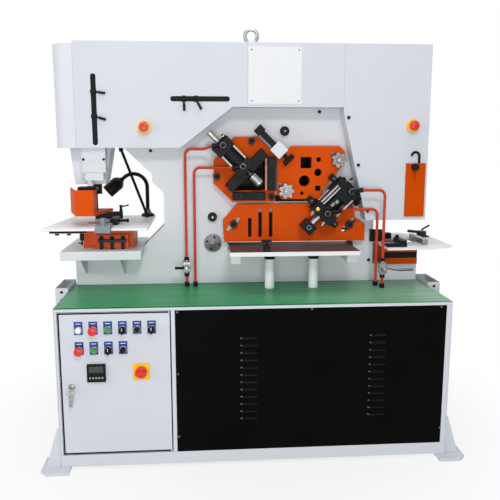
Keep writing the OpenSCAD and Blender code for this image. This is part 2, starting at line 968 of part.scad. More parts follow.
// A hood over both sides of the frame, open where the frame passes, from its left side up to x1
module cover(outline, x1) {
  difference() {
    slab(outline, cover_y0, cover_d);
    slab(inset(outline, cover_t), cover_y0 + cover_t, cover_d - 2 * cover_t);
    translate([x1 - far, ff - fit, 0]) cube([far, frame_t + 2 * fit, top_z - head_top_gap + fit]);
  }
}

module left_cover() color("whitesmoke") {
  difference() {
    cover(left_outline, middle_x0);
    slot_y(v_slot_x, head_z + v_slot_rise, 0, v_slot_l, 0, slot_w, cover_y0 - over, cover_t + 2 * over);
    slot_y(h_slot_x0, h_slot_z, 90, h_slot_l, 0, slot_w, cover_y0 - over, cover_t + 2 * over);
    pin_y([estop_left_x, cover_y0 - over, estop_left_z], estop_stem_r + fit, cover_t + 2 * over);
  }
  estop_plate(estop_left_x, estop_left_z);
}

module estop_plate(x, z) {
  difference() {
    pin_y([x, cover_y0 - estop_plate_t, z], estop_plate_r, estop_plate_t);
    pin_y([x, cover_y0 - estop_plate_t - over, z], estop_stem_r + fit, estop_plate_t + 2 * over);
  }
}

module middle_cover() color("whitesmoke") {
  difference() {
    cover(middle_outline, middle_x1);
    translate([eye_x, frame_y, top_z - cover_t - over]) cylinder(r = eye_wire_r + fit, h = cover_t + 2 * over);
  }
}

module right_cover() color("whitesmoke") {
  difference() {
    cover(right_outline, right_x1 - cover_t);
    pin_y([estop_right_x, cover_y0 - over, estop_right_z], estop_stem_r + fit, cover_t + 2 * over);
  }
  estop_plate(estop_right_x, estop_right_z);
}

module shroud_plan(r, x, e) {
  intersection() {
    translate([x - r, cover_y0 + e]) square([r, cover_d - 2 * e]);
    union() {
      translate([x, cover_y0 + e + r]) circle(r);
      translate([x, cover_y0 + cover_d - e - r]) circle(r);
      translate([x - r, cover_y0 + e + r]) square([r, cover_d - 2 * e - 2 * r]);
    }
  }
}

module cylinder_shroud() color("white") {
  x = cover_x0 - fit;
  h = top_h - head_h - shroud_drop;
  difference() {
    translate([0, 0, head_z]) linear_extrude(h) shroud_plan(shroud_r, x, 0);
    translate([0, 0, head_z - over])
      linear_extrude(h - cover_t + over) shroud_plan(shroud_r - cover_t, x + over, cover_t);
  }
}

// Punch station

module main_cylinders() color("dimgray") {
  z0 = head_z + head_top_gap + fit;
  difference() {
    translate([punch_x, frame_y, z0]) cylinder(d = punch_cyl_d, h = punch_cyl_h);
    translate([punch_x, frame_y, z0 - over])
      cylinder(r = ram_r + run, h = punch_cyl_h - punch_cyl_cap + over);
  }
  difference() {
    union() {
      translate([rod_x, frame_y, shear_cyl_z]) cylinder(d = shear_cyl_d, h = shear_cyl_h);
      block(
        [rod_x - shear_eye_h, core_y + fit, shear_cyl_z + shear_cyl_h],
        [2 * shear_eye_h, core_t - 2 * fit, shear_eye_h]);
    }
    translate([rod_x, frame_y, shear_cyl_z - over])
      cylinder(d = shear_rod_d + 2 * run, h = shear_cyl_h - punch_cyl_cap + over);
  }
}

module punch_bed() color("silver") {
  z = base_h + jaw_h + fit;
  difference() {
    block([bed_x, ff - bed_out, z], [bed_l, frame_t + 2 * bed_out, bed_t]);
    translate([bed_x - over, ff - bed_out + bed_slot, z + bed_t - bed_slot_d])
      cube([bed_l + 2 * over, bed_slot, bed_slot_d + over]);
    translate([punch_x, frame_y, z - over]) cylinder(r = slug_r, h = bed_t + 2 * over);
  }
  for (s = [1, 3])
    translate([bed_x + bed_l * s / 4, 0, 0])
      rotate([90, 0, 90])
        translate([0, 0, -gusset_t / 2])
          linear_extrude(gusset_t)
            polygon([
              [ff - bed_out + frame_inset, z + over], [ff - fit, z + over], [ff - fit, base_h + rail_h]]);
}

module die_block() color("orangered") {
  z = base_h + jaw_h + bed_t + 2 * fit;
  difference() {
    union() {
      block([die_x, frame_y - die_d / 2, z], [die_l, die_d, die_h]);
      block(
        [die_front_x, frame_y - die_d / 2 - die_front_d, z],
        [die_front_l, die_front_d + over, die_front_h]);
      translate([punch_x, frame_y, z]) cylinder(r = die_ring_r, h = table_z - die_drop - z);
    }
    translate([punch_x, frame_y, z - over]) cylinder(r = punch_d / 2 + die_clear, h = far);
  }
  block(
    [die_front_x + stud_r, frame_y - die_d / 2 - die_front_d - clamp_bar_d - fit, z + die_front_h / 2],
    [die_front_l - 2 * stud_r, clamp_bar_d, clamp_bar_h]);
  for (s = [1, 3, 5])
    pin_y(
      [die_front_x + die_front_l * s / 6, frame_y - die_d / 2 - die_front_d - stud_out - fit,
       z + die_front_h / 5],
      stud_r, stud_out);
}

module punch_table() color("white") {
  x1 = table_x + punch_table_l;
  y1 = table_y + punch_table_d;
  z = table_z - punch_table_t;
  die_z = base_h + jaw_h + bed_t + 3 * fit + die_h;
  difference() {
    translate([0, 0, z])
      linear_extrude(punch_table_t)
        polygon([
          [table_x, table_y], [x1, table_y], [x1, y1],
          [table_x + table_skew_share * punch_table_l, y1]]);
    translate([punch_x, frame_y, z - over]) cylinder(r = table_hole_r, h = punch_table_t + 2 * over);
  }
  for (y = [frame_y - die_d / 2, frame_y + die_d / 2 - table_leg_w])
    block([die_x, y, die_z], [die_l, table_leg_w, z - die_z + over]);
  block([table_x + table_leg_w, table_y + stud_out, z - bracket_h], [bracket_l, stud_out, bracket_h + over]);
}

module stripper_guard() color("orangered") {
  y1 = stripper_y + stripper_d;
  z1 = stripper_z + stripper_h;
  x1 = stripper_x + stripper_w;
  outline = [
    [stripper_x, stripper_y], [x1, stripper_y], [x1, stripper_y + stripper_d / 2],
    [x1 - stripper_t, stripper_y + stripper_d / 2], [x1 - stripper_t, stripper_y + stripper_t],
    [stripper_x + stripper_t / 2, stripper_y + stripper_t],
    [stripper_x - stripper_wing + stripper_t, y1], [stripper_x - stripper_wing, y1]];
  difference() {
    union() {
      translate([0, 0, stripper_z]) linear_extrude(stripper_h) polygon(outline);
      translate([0, 0, stripper_z])
        linear_extrude(2 * stripper_t)
          polygon([
            [stripper_x, stripper_y], [x1, stripper_y], [x1 + stripper_wing, y1 + stripper_wing],
            [stripper_x - stripper_wing, y1 + stripper_wing], [stripper_x - stripper_wing, y1]]);
    }
    translate([punch_x, frame_y, stripper_z - over])
      cylinder(r = stripper_hole_r, h = 2 * stripper_t + 2 * over);
  }
  block(
    [stripper_x + stripper_bar_h, stripper_y, z1 - over],
    [stripper_w, guide_rod_y + guide_rod_r - stripper_y, stripper_bar_h]);
  translate([punch_x, guide_rod_y, z1]) cylinder(r = guide_rod_r, h = head_z - z1 - stripper_bar_h);
}

module punch_ram() color("darkslategray") {
  holder_z = punch_tip_z + punch_l;
  ram_top = head_z + head_top_gap + punch_cyl_h / 2;
  translate([punch_x, frame_y, 0])
    union() {
      translate([0, 0, punch_tip_z]) cylinder(d = punch_d, h = punch_l + over);
      translate([0, 0, holder_z]) cylinder(r = holder_r, h = holder_h + over);
      translate([0, 0, holder_z + holder_h]) cylinder(r = ram_r, h = ram_top - holder_z - holder_h);
    }
}

module punch_fence() color("gray") {
  z = table_z + fit;
  difference() {
    block(
      [fence_x, table_y - fence_lip, z - fence_drop],
      [fence_w, 3 * fence_lip, fence_drop + fence_lip - stud_out]);
    translate([fence_x - over, table_y - fit, z - fence_drop - over])
      cube([fence_w + 2 * over, far, fence_drop + over]);
  }
  x = fence_x + fence_w / 2 - fence_arm_w / 2;
  block([x, table_y + fence_lip, z], [fence_arm_w, fence_bar_y - table_y - fence_lip + over, fence_arm_t]);
  block([x - fence_bar_share * fence_bar_l, fence_bar_y, z], [fence_bar_l, fence_bar_t, fence_bar_h]);
  translate([fence_x + fence_w / 2, table_y, z + fence_lip - stud_out - over])
    cylinder(r = fence_grip_r, h = fence_lip);
}

module work_lamp() color("dimgray") {
  z = table_z + fit;
  translate([lamp_x, lamp_y, z])
    union() {
      cylinder(r = lamp_base_r, h = lamp_base_h);
      cylinder(r = neck_r, h = lamp_base_h + neck_up);
      translate([-neck_bend, 0, lamp_base_h + neck_up])
        union() {
          rotate([90, 0, 0])
            rotate_extrude(angle = neck_angle) translate([neck_bend, 0]) circle(neck_r);
          translate([neck_bend * cos(neck_angle), 0, neck_bend * sin(neck_angle)])
            rotate([0, -neck_angle, 0])
              union() {
                translate([0, 0, -neck_collar])
                  cylinder(r1 = neck_r + neck_collar, r2 = lamp_head_r, h = lamp_cap_l + neck_collar);
                translate([0, 0, lamp_cap_l]) cylinder(r = lamp_head_r, h = lamp_head_l - lamp_cap_l);
              }
        }
    }
}

module lamp_cable() color("black") {
  foot = [lamp_x, lamp_y - cable_foot_y, table_z + fit];
  head = [lamp_x - cable_head_x, lamp_y - cable_head_y, head_z - fit];
  rod(foot + [0, 0, gland_h - cable_r], head - [0, 0, gland_h - cable_r], cable_r, $fn = cable_sides);
  translate(foot) cylinder(r = gland_r, h = gland_h);
  translate(head - [0, 0, gland_h]) cylinder(r = gland_r, h = gland_h);
}

// Shear stations

module angle_plate() color("orangered") {
  difference() {
    union() {
      slab(placed(angle_shares, angle_x, angle_z, angle_w, angle_h), work_y, work_t);
      for (s = angle_bolt_shares)
        pin_y([on_angle(s)[0], work_y + work_t - over, on_angle(s)[1]], boss_r, standoff + over - fit);
    }
    slab(vee_outline, work_y - over, work_t + standoff + 2 * over);
  }
}

module section_holes(pad, y, t) {
  for (i = [0:len(section_round_r) - 1])
    pin_y(
      [on_section(section_round_shares[i])[0], y, on_section(section_round_shares[i])[1]],
      section_round_r[i] + pad, t);
  for (i = [0:len(section_square_w) - 1]) {
    w = section_square_w[i] + 2 * pad;
    c = on_section(section_square_shares[i]);
    translate([c[0] - w / 2, y, c[1] - w / 2]) cube([w, t, w]);
  }
}

module section_plate() color("orangered") {
  difference() {
    slab(placed(section_shares, section_x, section_z, section_w, section_h), work_y, work_t);
    section_holes(0, work_y - over, work_t + 2 * over);
    for (s = section_slot_shares)
      slot_y(
        on_section(s)[0], on_section(s)[1], -45, section_slot_l, 0, section_slot_w, work_y - over,
        work_t + 2 * over);
  }
}

module flat_plate() color("orangered") {
  difference() {
    slab(placed(flat_shares, flat_x, flat_z, flat_w, flat_h), work_y, work_t);
    for (s = flat_slot_shares)
      slot_y(
        flat_x + s[0] * flat_w, flat_z + s[1] * flat_h, 0, (s[2] - s[1]) * flat_h, 0, flat_slot_w,
        work_y - over, work_t + 2 * over);
    for (s = guide_slot_shares)
      slot_y(
        on_flat(s)[0], on_flat(s)[1], 45, guide_slot_up, guide_slot_down, guide_slot_w, work_y - over,
        work_t + 2 * over);
  }
}

module blade_holders() color("darkslategray") {
  block(
    [blade_x0, ff + fit, bar_z - blade_seat_h + fit],
    [blade_l, beam_y - ff - 3 * fit, blade_seat_h - fit]);
  block(
    [vee_x - rest_l, work_y - fit - rest_t, vee_z - rest_gap - rest_h],
    [rest_l, rest_t, rest_h]);
  block(
    [vee_x + rest_v_gap, work_y - fit - rest_t, vee_z],
    [rest_h, rest_t, rest_v_l]);
}

// Frames of the two clamps: X across, Z up along the rod
module at_angle_clamp()
  translate([clamp_a_x, work_y - fit - clamp_d / 2, clamp_a_z])
    rotate([0, -45, 0])
      children();

module at_flat_clamp()
  translate([clamp_f_x, work_y - clamp_gap - clamp_f_d / 2, clamp_f_z])
    rotate([0, 45, 0])
      children();

// Two end blocks and a barrel
module clamp_body(l, w, d, top_l, low_l, barrel) {
  block([-w / 2, -d / 2, l / 2 - top_l], [w, d, top_l]);
  block([-w / 2, -d / 2, -l / 2], [w, d, low_l]);
  translate([0, 0, over - l / 2]) cylinder(r = barrel, h = l - 2 * over);
}

module clamp_cylinders() color("black") {
  // Angle clamp, pushing down to the right, with a pocket for its nose
  at_angle_clamp()
    difference() {
      union() {
        clamp_body(clamp_l, clamp_w, clamp_d, clamp_top_l, clamp_low_l, clamp_barrel_r);
        translate([0, 0, clamp_l / 2 - over]) cylinder(r = clamp_tail_r, h = clamp_tail + over);
        block(
          [-clamp_flange_l / 2, clamp_d / 2 - clamp_back - clamp_flange_d, -clamp_l / 2 - clamp_flange_t],
          [clamp_flange_l, clamp_flange_d, clamp_flange_t + clamp_low_l / 2]);
      }
      translate([0, 0, -clamp_l]) cylinder(r = clamp_rod_d / 2 + run, h = clamp_l + clamp_bore_up);
      translate([0, 0, -clamp_l]) cylinder(r = clamp_nose_r + fit, h = clamp_l / 2 + clamp_pocket);
    }
  // Flat clamp, pushing down to the left
  at_flat_clamp()
    difference() {
      union() {
        clamp_body(clamp_f_l, clamp_f_w, clamp_f_d, clamp_f_top_l, clamp_f_low_l, clamp_f_barrel_r);
        for (s = [-1, 1])
          block(
            [-clamp_f_w / 2 - clamp_ear, 0, s * (clamp_f_l / 2 - clamp_ear_t) - clamp_ear_t / 2],
            [clamp_f_w + 2 * clamp_ear, clamp_f_d / 2 - clamp_back, clamp_ear_t]);
      }
      translate([0, 0, -clamp_f_l]) cylinder(r = clamp_rod_d / 2 + run, h = clamp_f_l + clamp_f_top_l);
    }
  pin_y(
    [clamp_f_x + bracket_r, work_y - clamp_gap - over, clamp_f_z + 2 * bracket_r], bracket_r,
    ff - fit - work_y + clamp_gap + over);
}

module angle_clamp_rod() color("silver")
  at_angle_clamp()
    translate([0, 0, -clamp_l / 2 - clamp_flange_t - over])
      union() {
        cylinder(d = clamp_rod_d, h = clamp_l / 2 + clamp_flange_t + clamp_rod_up);
        translate([0, 0, -clamp_nose_l]) cylinder(r = clamp_nose_r, h = clamp_nose_l);
        translate([0, 0, -clamp_nose_l - clamp_tip_l])
          cylinder(r1 = clamp_tip_r, r2 = clamp_nose_r, h = clamp_tip_l);
      }

module flat_clamp_rod() color("silver")
  at_flat_clamp()
    union() {
      translate([0, 0, -clamp_f_l / 2 - clamp_f_reach])
        cylinder(d = clamp_rod_d, h = clamp_f_l / 2 + clamp_f_top_l);
      block(
        [-shoe_w / 2, -shoe_l / 2, -clamp_f_l / 2 - clamp_f_reach - shoe_l / 2],
        [shoe_w, clamp_f_d / 2 + clamp_gap - fit + shoe_l / 2, shoe_l]);
    }

module angle_rest_bar() color("black") {
  y = work_y - fit - bar_block_d / 2;
  up = (bar_block / 2 + bar_len - bar_block) / sqrt(2);
  low = (bar_block / 2) / sqrt(2);
  tip = low + knob_neck / sqrt(2);
  slant(
    bar_x - up, bar_zc + up, -45, bar_w, bar_len, y - bar_w / 2, bar_w);
  rod([bar_x, y, bar_zc], [bar_x + tip, y, bar_zc - tip], knob_neck_r);
  k = knob_bar_l / sqrt(8);
  rod([bar_x + tip - k, y, bar_zc - tip - k], [bar_x + tip + k, y, bar_zc - tip + k], knob_bar_r);
}

module star_knob(s) {
  c = on_section(s);
  lobe = star_lobe_share * star_d / 2;
  ring = star_d / 2 - lobe;
  y = work_y - fit - star_t;
  pin_y([c[0], y + star_t - over, c[1]], bolt_r - over, ff - fit - y - star_t + over);
  translate([c[0], y + star_t, c[1]])
    rotate([90, 0, 0])
      linear_extrude(star_t)
        union() {
          circle(ring);
          for (i = [0:star_lobes - 1])
            rotate(i * 360 / star_lobes) translate([ring, 0]) circle(lobe);
        }
}

module shear_beam() color("slategray") {
  difference() {
    union() {
      slab(beam_outline, beam_y, beam_t);
      pin_y([pivot_x, beam_y, pivot_z], beam_boss_r, beam_t);
      block([notch_punch_x, beam_y, notch_punch_z], [notch_punch_w, beam_t, notch_punch_h + over]);
    }
    pin_y([pivot_x, beam_y - over, pivot_z], pivot_r + run, beam_t + 2 * over);
    slab(angle_slot, beam_y - over, beam_t + 2 * over);
    section_holes(beam_hole_pad, beam_y - over, beam_t + 2 * over);
  }
}

module shear_rod() color("silver")
  translate([rod_x, frame_y, rod_pad_z + fit])
    cylinder(d = shear_rod_d, h = shear_cyl_z + shear_cyl_h / 2 - rod_pad_z);

// Pipes

// Up from the bench, over a bend and along X
module riser(x, y, h, run_l, way) {
  top = base_h + h;
  translate([x, y, base_h + fit]) cylinder(r = nut_r, h = nut_l);
  rod([x, y, base_h + fit], [x, y, top - bend_r], pipe_r);
  translate([x, y, top - bend_r])
    mirror([way < 0 ? 1 : 0, 0, 0])
      translate([bend_r, 0, 0])
        rotate([90, 0, 0])
          rotate([0, 0, 90]) rotate_extrude(angle = 90) translate([bend_r, 0]) circle(pipe_r);
  rod([x + way * bend_r, y, top], [x + way * run_l, y, top], pipe_r);
  rod([x + way * (run_l - nut_l), y, top], [x + way * run_l, y, top], nut_r);
}

module valve_body(x, y) {
  block([x - valve_w / 2, y - valve_d / 2, base_h + valve_up], [valve_w, valve_d, valve_h]);
  pin_y(
    [x, y - valve_d / 2 - valve_stem_l, base_h + valve_up + valve_h / 2],
    valve_stem_r, valve_stem_l + over);
}

module oil_pipes() color("firebrick") {
  riser(pipe_a_x, pipe_left_y, pipe_a_h, pipe_a_run, 1);
  riser(pipe_b_x, pipe_left_y, pipe_b_h, pipe_b_run, 1);
  riser(pipe_c_x, pipe_c_y, pipe_c_h, pipe_c_run, -1);
  riser(pipe_d_x, pipe_d_y, pipe_d_h, pipe_d_run, -1);
  valve_body(pipe_a_x, pipe_left_y);
  valve_body(pipe_c_x, pipe_c_y);
}

// Its length is below zero for a lever to the left
module valve_lever(x, y, l) {
  z = base_h + valve_up + valve_h / 2;
  y1 = y - valve_d / 2 - valve_stem_l - fit;
  pin_y([x, y1 - lever_t, z], valve_stem_r, lever_t);
  block([x + min(l, 0), y1 - lever_t, z - lever_w / 2], [abs(l), lever_t, lever_w]);
}

// Tables

module feed_table() color("white") {
  z = bar_z - feed_table_t;
  y0 = ff - feed_table_d;
  block([feed_x, y0, z], [feed_table_l, feed_table_d - fit, feed_table_t]);
  block([feed_x, y0 - lip_t, bar_z - lip_h], [feed_table_l, lip_t + over, lip_h]);
  for (x = [feed_x + arm_in, feed_x + feed_table_l - arm_in - arm_w])
    block([x, y0 + arm_w, z - arm_h], [arm_w, feed_table_d - arm_w - fit, arm_h + over]);
}

module support_posts() color("white")
  for (s = post_x_shares)
    translate([feed_x + s * feed_table_l, post_y, base_h + fit])
      cylinder(d = post_d, h = bar_z - feed_table_t - base_h - 2 * fit);

module feed_stop() color("black") {
  x = feed_x + stop_x_share * feed_table_l;
  block([x, ff - feed_table_d - lip_t, bar_z + fit], [stop_w, stop_d, stop_h]);
}

module notch_bed() color("orangered") {
  z = notch_z + fit;
  h = notch_bed_h - fit;
  y0 = ff - notch_bed_out;
  hole_y = beam_y - die_hole_gap;
  hole_x = notch_punch_x - die_hole_gap;
  difference() {
    block([notch_bed_x, y0, z], [notch_l, frame_t + 2 * notch_bed_out, h]);
    translate([notch_bed_x - over, y0 - over, z + h / 3])
      cube([notch_l + 2 * over, notch_groove_d + over, h / 3]);
    translate([hole_x, hole_y, z - over]) cube([die_hole_l, beam_t + 2 * die_hole_gap, h + 2 * over]);
  }
}

module notch_table() color("white") {
  z = notch_z + notch_bed_h + fit;
  hole_y = beam_y - die_hole_gap;
  hole_x = notch_punch_x - die_hole_gap;
  difference() {
    translate([0, 0, z])
      linear_extrude(notch_table_t)
        polygon(placed(notch_table_shares, notch_table_x, notch_table_y, notch_table_l, notch_table_d));
    translate([hole_x, hole_y, z - over])
      cube([die_hole_l, beam_t + 2 * die_hole_gap, notch_table_t + 2 * over]);
  }
  x = notch_table_x + notch_table_l - 2 * lever_post_r;
  y = notch_table_y + notch_table_d * lever_share - lever_post_r;
  translate([x, y, z + notch_table_t - over]) cylinder(r = lever_post_r, h = lever_post_h);
  rod(
    [x, y, z + notch_table_t + lever_post_h - lever_grip_r],
    [x - lever_grip_l, y, z + notch_table_t + lever_post_h], lever_grip_r);
}

module notch_fence() color("black")
  block(
    [notch_fence_x, notch_fence_y, notch_z + notch_bed_h + notch_table_t + 2 * fit],
    [notch_fence_w, notch_fence_l, notch_fence_h]);

module notch_guard() color("orangered") {
  y = cover_y0 - fit - guard_t;
  kz = guard_z + guard_h - guard_knob_drop;
  difference() {
    block([guard_x, y, guard_z], [guard_w, guard_t, guard_h]);
    slot_y(guard_x + guard_knob_x, kz, 0, 0, guard_travel, guard_slot_w, y - over, guard_t + 2 * over);
  }
  hx = guard_x + hook_in;
  hy = y + guard_t - hook_r;
  hz = guard_z + guard_h + hook_h - hook_bend - hook_r;
  rod([hx, hy, guard_z + guard_h - over], [hx, hy, hz], hook_r);
  translate([hx - hook_bend, hy, hz])
    rotate([90, 0, 0])
      rotate_extrude(angle = 180) translate([hook_bend, 0]) circle(hook_r);
}

// Fasteners

module hex_nut(x, z) {
  pin_y([x, ff - fit - washer_t, z], washer_r, washer_t);
  translate([x, ff - fit - washer_t, z]) rotate([90, 0, 0]) cylinder(r = hex_r, h = hex_t, $fn = 6);
}

module work_bolt(c) {
  pin_y([c[0], work_y - fit - bolt_head_t, c[1]], bolt_head_r, bolt_head_t);
}

// A shouldered bolt that a sliding plate hangs on
module guide_bolt(c) {
  pin_y([c[0], work_y - fit - bolt_head_t, c[1]], boss_r, bolt_head_t);
  pin_y([c[0], work_y - fit - over, c[1]], bolt_r, ff - work_y + over);
  pin_y([c[0], work_y + work_t + fit, c[1]], boss_r, standoff - 2 * fit);
}

module fasteners() color("dimgray") {
  // Main pivot pin with a cap on each end
  pin_y([pivot_x, ff - fit, pivot_z], pivot_r, frame_t + 2 * fit);
  for (y = [ff - fit - pivot_cap_t, fr + fit]) pin_y([pivot_x, y, pivot_z], pivot_cap_r, pivot_cap_t);
  for (c = hex_places) hex_nut(c[0], c[1]);
  for (s = angle_bolt_shares) work_bolt(on_angle(s));
  for (s = guide_slot_shares) guide_bolt(on_flat(s));
  for (c = frame_bolt_places) pin_y([c[0], ff - fit - cover_bolt_t, c[1]], cover_bolt_r, cover_bolt_t);
  for (s = cover_bolt_shares)
    pin_y(
      [middle_x1 + s * (right_low_x - middle_x1) + cover_bolt_in, cover_y0 - fit - cover_bolt_t,
       middle_z - right_knee_drop + s * (right_low_z - middle_z + right_knee_drop)],
      cover_bolt_r, cover_bolt_t);
  // Clamp knob of the notch guard
  knob = [guard_x + guard_knob_x, cover_y0 - fit, guard_z + guard_h - guard_knob_drop];
  pin_y(knob - [0, 2 * fit + guard_t + guard_knob_t, 0], guard_knob_r, guard_knob_t);
  pin_y(knob - [0, 2 * fit + guard_t + over, 0], guard_stud_r, 2 * fit + guard_t + over);
  // Lifting eye
  translate([eye_x, frame_y, top_z + fit])
    union() {
      cylinder(r = eye_foot_r, h = eye_foot_h);
      translate([0, 0, fit - head_top_gap]) cylinder(r = eye_wire_r, h = head_top_gap);
      translate([0, 0, eye_foot_h + eye_ring_r + eye_wire_r - over])
        rotate([90, 0, 0]) rotate_extrude() translate([eye_ring_r, 0]) circle(eye_wire_r);
    }
}

// Door and controls

module door_hole(x, z, r) {
  pin_y([x, front_y - bezel_t - over, z], r, bezel_t + door_t + 2 * over);
}

module door() color("whitesmoke") {
  tx = door_x0 + timer_x;
  tz = door_z1 - timer_drop;
  sx = door_x0 + switch_x;
  lx = door_x0 + lock_x;
  lz = door_z1 - lock_drop;
  cut_w = timer_w - 2 * bezel_t;
  difference() {
    union() {
      difference() {
        block([door_x0, front_y, door_z0], [door_w, door_fold, door_h]);
        translate([door_x0 + door_t, front_y + door_t, door_z0 + door_t])
          cube([door_w - 2 * door_t, door_fold, door_h - 2 * door_t]);
      }
      for (i = [0:control_n - 1]) pin_y([control_at(i), front_y - bezel_t, row_1_z], bezel_r, bezel_t + over);
      for (i = [0:row_2_n - 1]) pin_y([control_at(i), front_y - bezel_t, row_2_z], bezel_r, bezel_t + over);
      block([sx - switch_w / 2, front_y - bezel_t, tz - switch_w / 2], [switch_w, bezel_t + over, switch_w]);
      pin_y([lx, front_y - lock_out, lz], lock_r, lock_out + door_fold);
      translate([hinge_x, hinge_y, door_z0 - hinge_pin]) cylinder(r = hinge_r, h = hinge_pin + over);
      translate([hinge_x, hinge_y, door_z1 - over]) cylinder(r = hinge_r, h = door_top_gap + hinge_r + over);
    }
    for (i = [1:control_n - 1]) door_hole(control_at(i), row_1_z, barrel_r + fit);
    for (i = [0:row_2_n - 1]) door_hole(control_at(i), row_2_z, barrel_r + fit);
    door_hole(sx, tz, switch_shaft_r + fit);
    translate([tx - cut_w / 2, front_y - over, tz - cut_w / 2]) cube([cut_w, door_t + 2 * over, cut_w]);
  }
  pin_y([control_at(0), front_y - bezel_t - fit - lamp_lens_out, row_1_z], lamp_lens_r, lamp_lens_out);
  block([tx - timer_w / 2, front_y - fit - timer_out, tz - timer_w / 2], [timer_w, timer_out, timer_w]);
  block(
    [tx - cut_w / 2 + fit, front_y - fit - over, tz - cut_w / 2 + fit],
    [cut_w - 2 * fit, timer_back + over, cut_w - 2 * fit]);
}

// The barrel of a control, held behind the door by a collar
module barrel(x, z, r, out) {
  pin_y([x, front_y - out, z], r, out + barrel_back);
  pin_y([x, front_y + door_t + fit, z], r + barrel_nut, barrel_nut);
}

module push_button(x, z) {
  barrel(x, z, barrel_r, bezel_t + cap_out);
}

module mushroom_button(x, z) {
  barrel(x, z, barrel_r, mushroom_out - over);
  pin_y([x, front_y - mushroom_out, z], mushroom_r, mushroom_t);
}

module selector(x, z) {
  y = front_y - bezel_t - fit - selector_out;
  barrel(x, z, barrel_r, bezel_t + fit + over);
  pin_y([x, y, z], selector_r, selector_out);
  block(
    [x - selector_bar / 2, y - selector_bar_out, z - selector_r],
    [selector_bar, selector_bar_out + over, 2 * selector_r]);
}

module main_switch() color("firebrick") {
  x = door_x0 + switch_x;
  z = door_z1 - timer_drop;
  y = front_y - bezel_t - fit - switch_out;
  barrel(x, z, switch_shaft_r, bezel_t + fit + over);
  pin_y([x, y, z], switch_r, switch_out);
  block([x - switch_r, y - switch_bar, z - switch_bar / 2], [2 * switch_r, switch_bar + over, switch_bar]);
}

module door_key() color("silver") {
  x = door_x0 + lock_x;
  z = door_z1 - lock_drop;
  y = front_y - lock_out - fit;
  bow_y = y - key_neck - key_r;
  block([x - key_t / 2, y - key_neck - over, z - key_neck / 2], [key_t, key_neck + over, key_neck]);
  translate([x - key_t / 2, bow_y, z]) rotate([0, 90, 0]) cylinder(r = key_r, h = key_t);
  translate([x, bow_y, z - key_r])
    rotate([90, 0, 0]) rotate_extrude() translate([key_ring_r, 0]) circle(key_t / 2);
  block(
    [x - key_ring_r / 2, bow_y - key_t / 2, z - key_r - key_ring_r - key_hang + key_t],
    [key_ring_r, key_t, key_hang]);
}

module estop(x, z) {
  y = cover_y0 - estop_plate_t - estop_out;
  pin_y([x, y, z], estop_d / 2, estop_head_t);
  pin_y([x, y + over, z], estop_stem_r, estop_plate_t + estop_out + barrel_back);
  pin_y([x, cover_y0 + cover_t + fit, z], estop_stem_r + barrel_nut, barrel_nut);
}

// A stroke stop in its cover slot, the lever turned to one side
module stroke_stop(x, z, turn) {
  y = cover_y0 - fit - stop_lever_t;
  pin_y([x, y, z], stop_stud_r, stop_lever_t + cover_t + stop_washer_t + 2 * fit);
  pin_y([x, cover_y0 + cover_t + fit, z], stop_washer_r, stop_washer_t);
  pin_y([x, y, z], stop_washer_r, stop_lever_t);
  translate([x, y, z])
    rotate([0, turn, 0])
      translate([0, 0, -stop_lever_w / 2])
        cube([stop_lever, stop_lever_t, stop_lever_w]);
}

module punch_stop(share) {
  stroke_stop(v_slot_x, head_z + v_slot_rise + share * v_slot_l, 0);
}

module shear_stop(share) {
  stroke_stop(h_slot_x0 + share * h_slot_l, h_slot_z, 90);
}

// Inner units

module hydraulic_unit() color("steelblue") {
  z = foot_t + sheet_t + fit;
  block([tank_x, -tank_d / 2, z], [tank_l, tank_d, tank_h]);
  translate([tank_x + unit_gap, 0, z + tank_h + motor_r + motor_foot_h])
    rotate([0, 90, 0]) cylinder(r = motor_r, h = motor_l);
  block(
    [tank_x + unit_gap, -motor_r / 2, z + tank_h - over],
    [motor_l, motor_r, motor_foot_h + motor_r / 2]);
}

module electrical_plate() color("lightgray") {
  z = foot_t + sheet_t + fit;
  x = (door_x0 + door_x1 - board_l) / 2;
  y = front_y + board_back;
  block([x, y, z], [board_l, board_t, board_h + board_foot]);
  block([x, y, z], [board_l, board_foot, board_t]);
  for (i = [0:relay_n - 1], r = [1, 2])
    block(
      [x + relay_w / 2 + i * relay_pitch, y - relay_d, z + r * board_h / 3],
      [relay_w, relay_d + over, relay_h]);
}

// The assembly

base_cabinet();
bench_mat();
louvre_panel();
main_frame();
left_cover();
middle_cover();
right_cover();
cylinder_shroud();
main_cylinders();
punch_bed();
die_block();
punch_table();
angle_plate();
section_plate();
flat_plate();
blade_holders();
clamp_cylinders();
oil_pipes();
feed_table();
support_posts();
notch_bed();
notch_table();
fasteners();
hydraulic_unit();
electrical_plate();
lamp_cable();
punch_ram();
shear_beam();
shear_rod();
angle_clamp_rod();
flat_clamp_rod();
door();
color("firebrick") mushroom_button(control_at(1), row_1_z);  // stop_button_1
color("firebrick") mushroom_button(control_at(0), row_2_z);  // stop_button_2
color("seagreen") push_button(control_at(2), row_1_z);  // green_button_1
color("seagreen") push_button(control_at(1), row_2_z);  // green_button_2
color("black") push_button(control_at(4), row_1_z);  // black_button_1
color("black") push_button(control_at(3), row_2_z);  // black_button_2
color("black") selector(control_at(3), row_1_z);  // selector_1
color("black") selector(control_at(5), row_1_z);  // selector_2
color("black") selector(control_at(2), row_2_z);  // selector_3
main_switch();
door_key();
color("firebrick") estop(estop_left_x, estop_left_z);  // estop_left
color("firebrick") estop(estop_right_x, estop_right_z);  // estop_right
color("black") punch_stop(stop_high_share);  // punch_stop_upper
color("black") punch_stop(stop_low_share);  // punch_stop_lower
color("black") shear_stop(stop_near_share);  // shear_stop_left
color("black") shear_stop(stop_next_share);  // shear_stop_right
color("silver") star_knob(section_slot_shares[0]);  // star_knob_low
color("silver") star_knob(section_slot_shares[1]);  // star_knob_high
notch_guard();
stripper_guard();
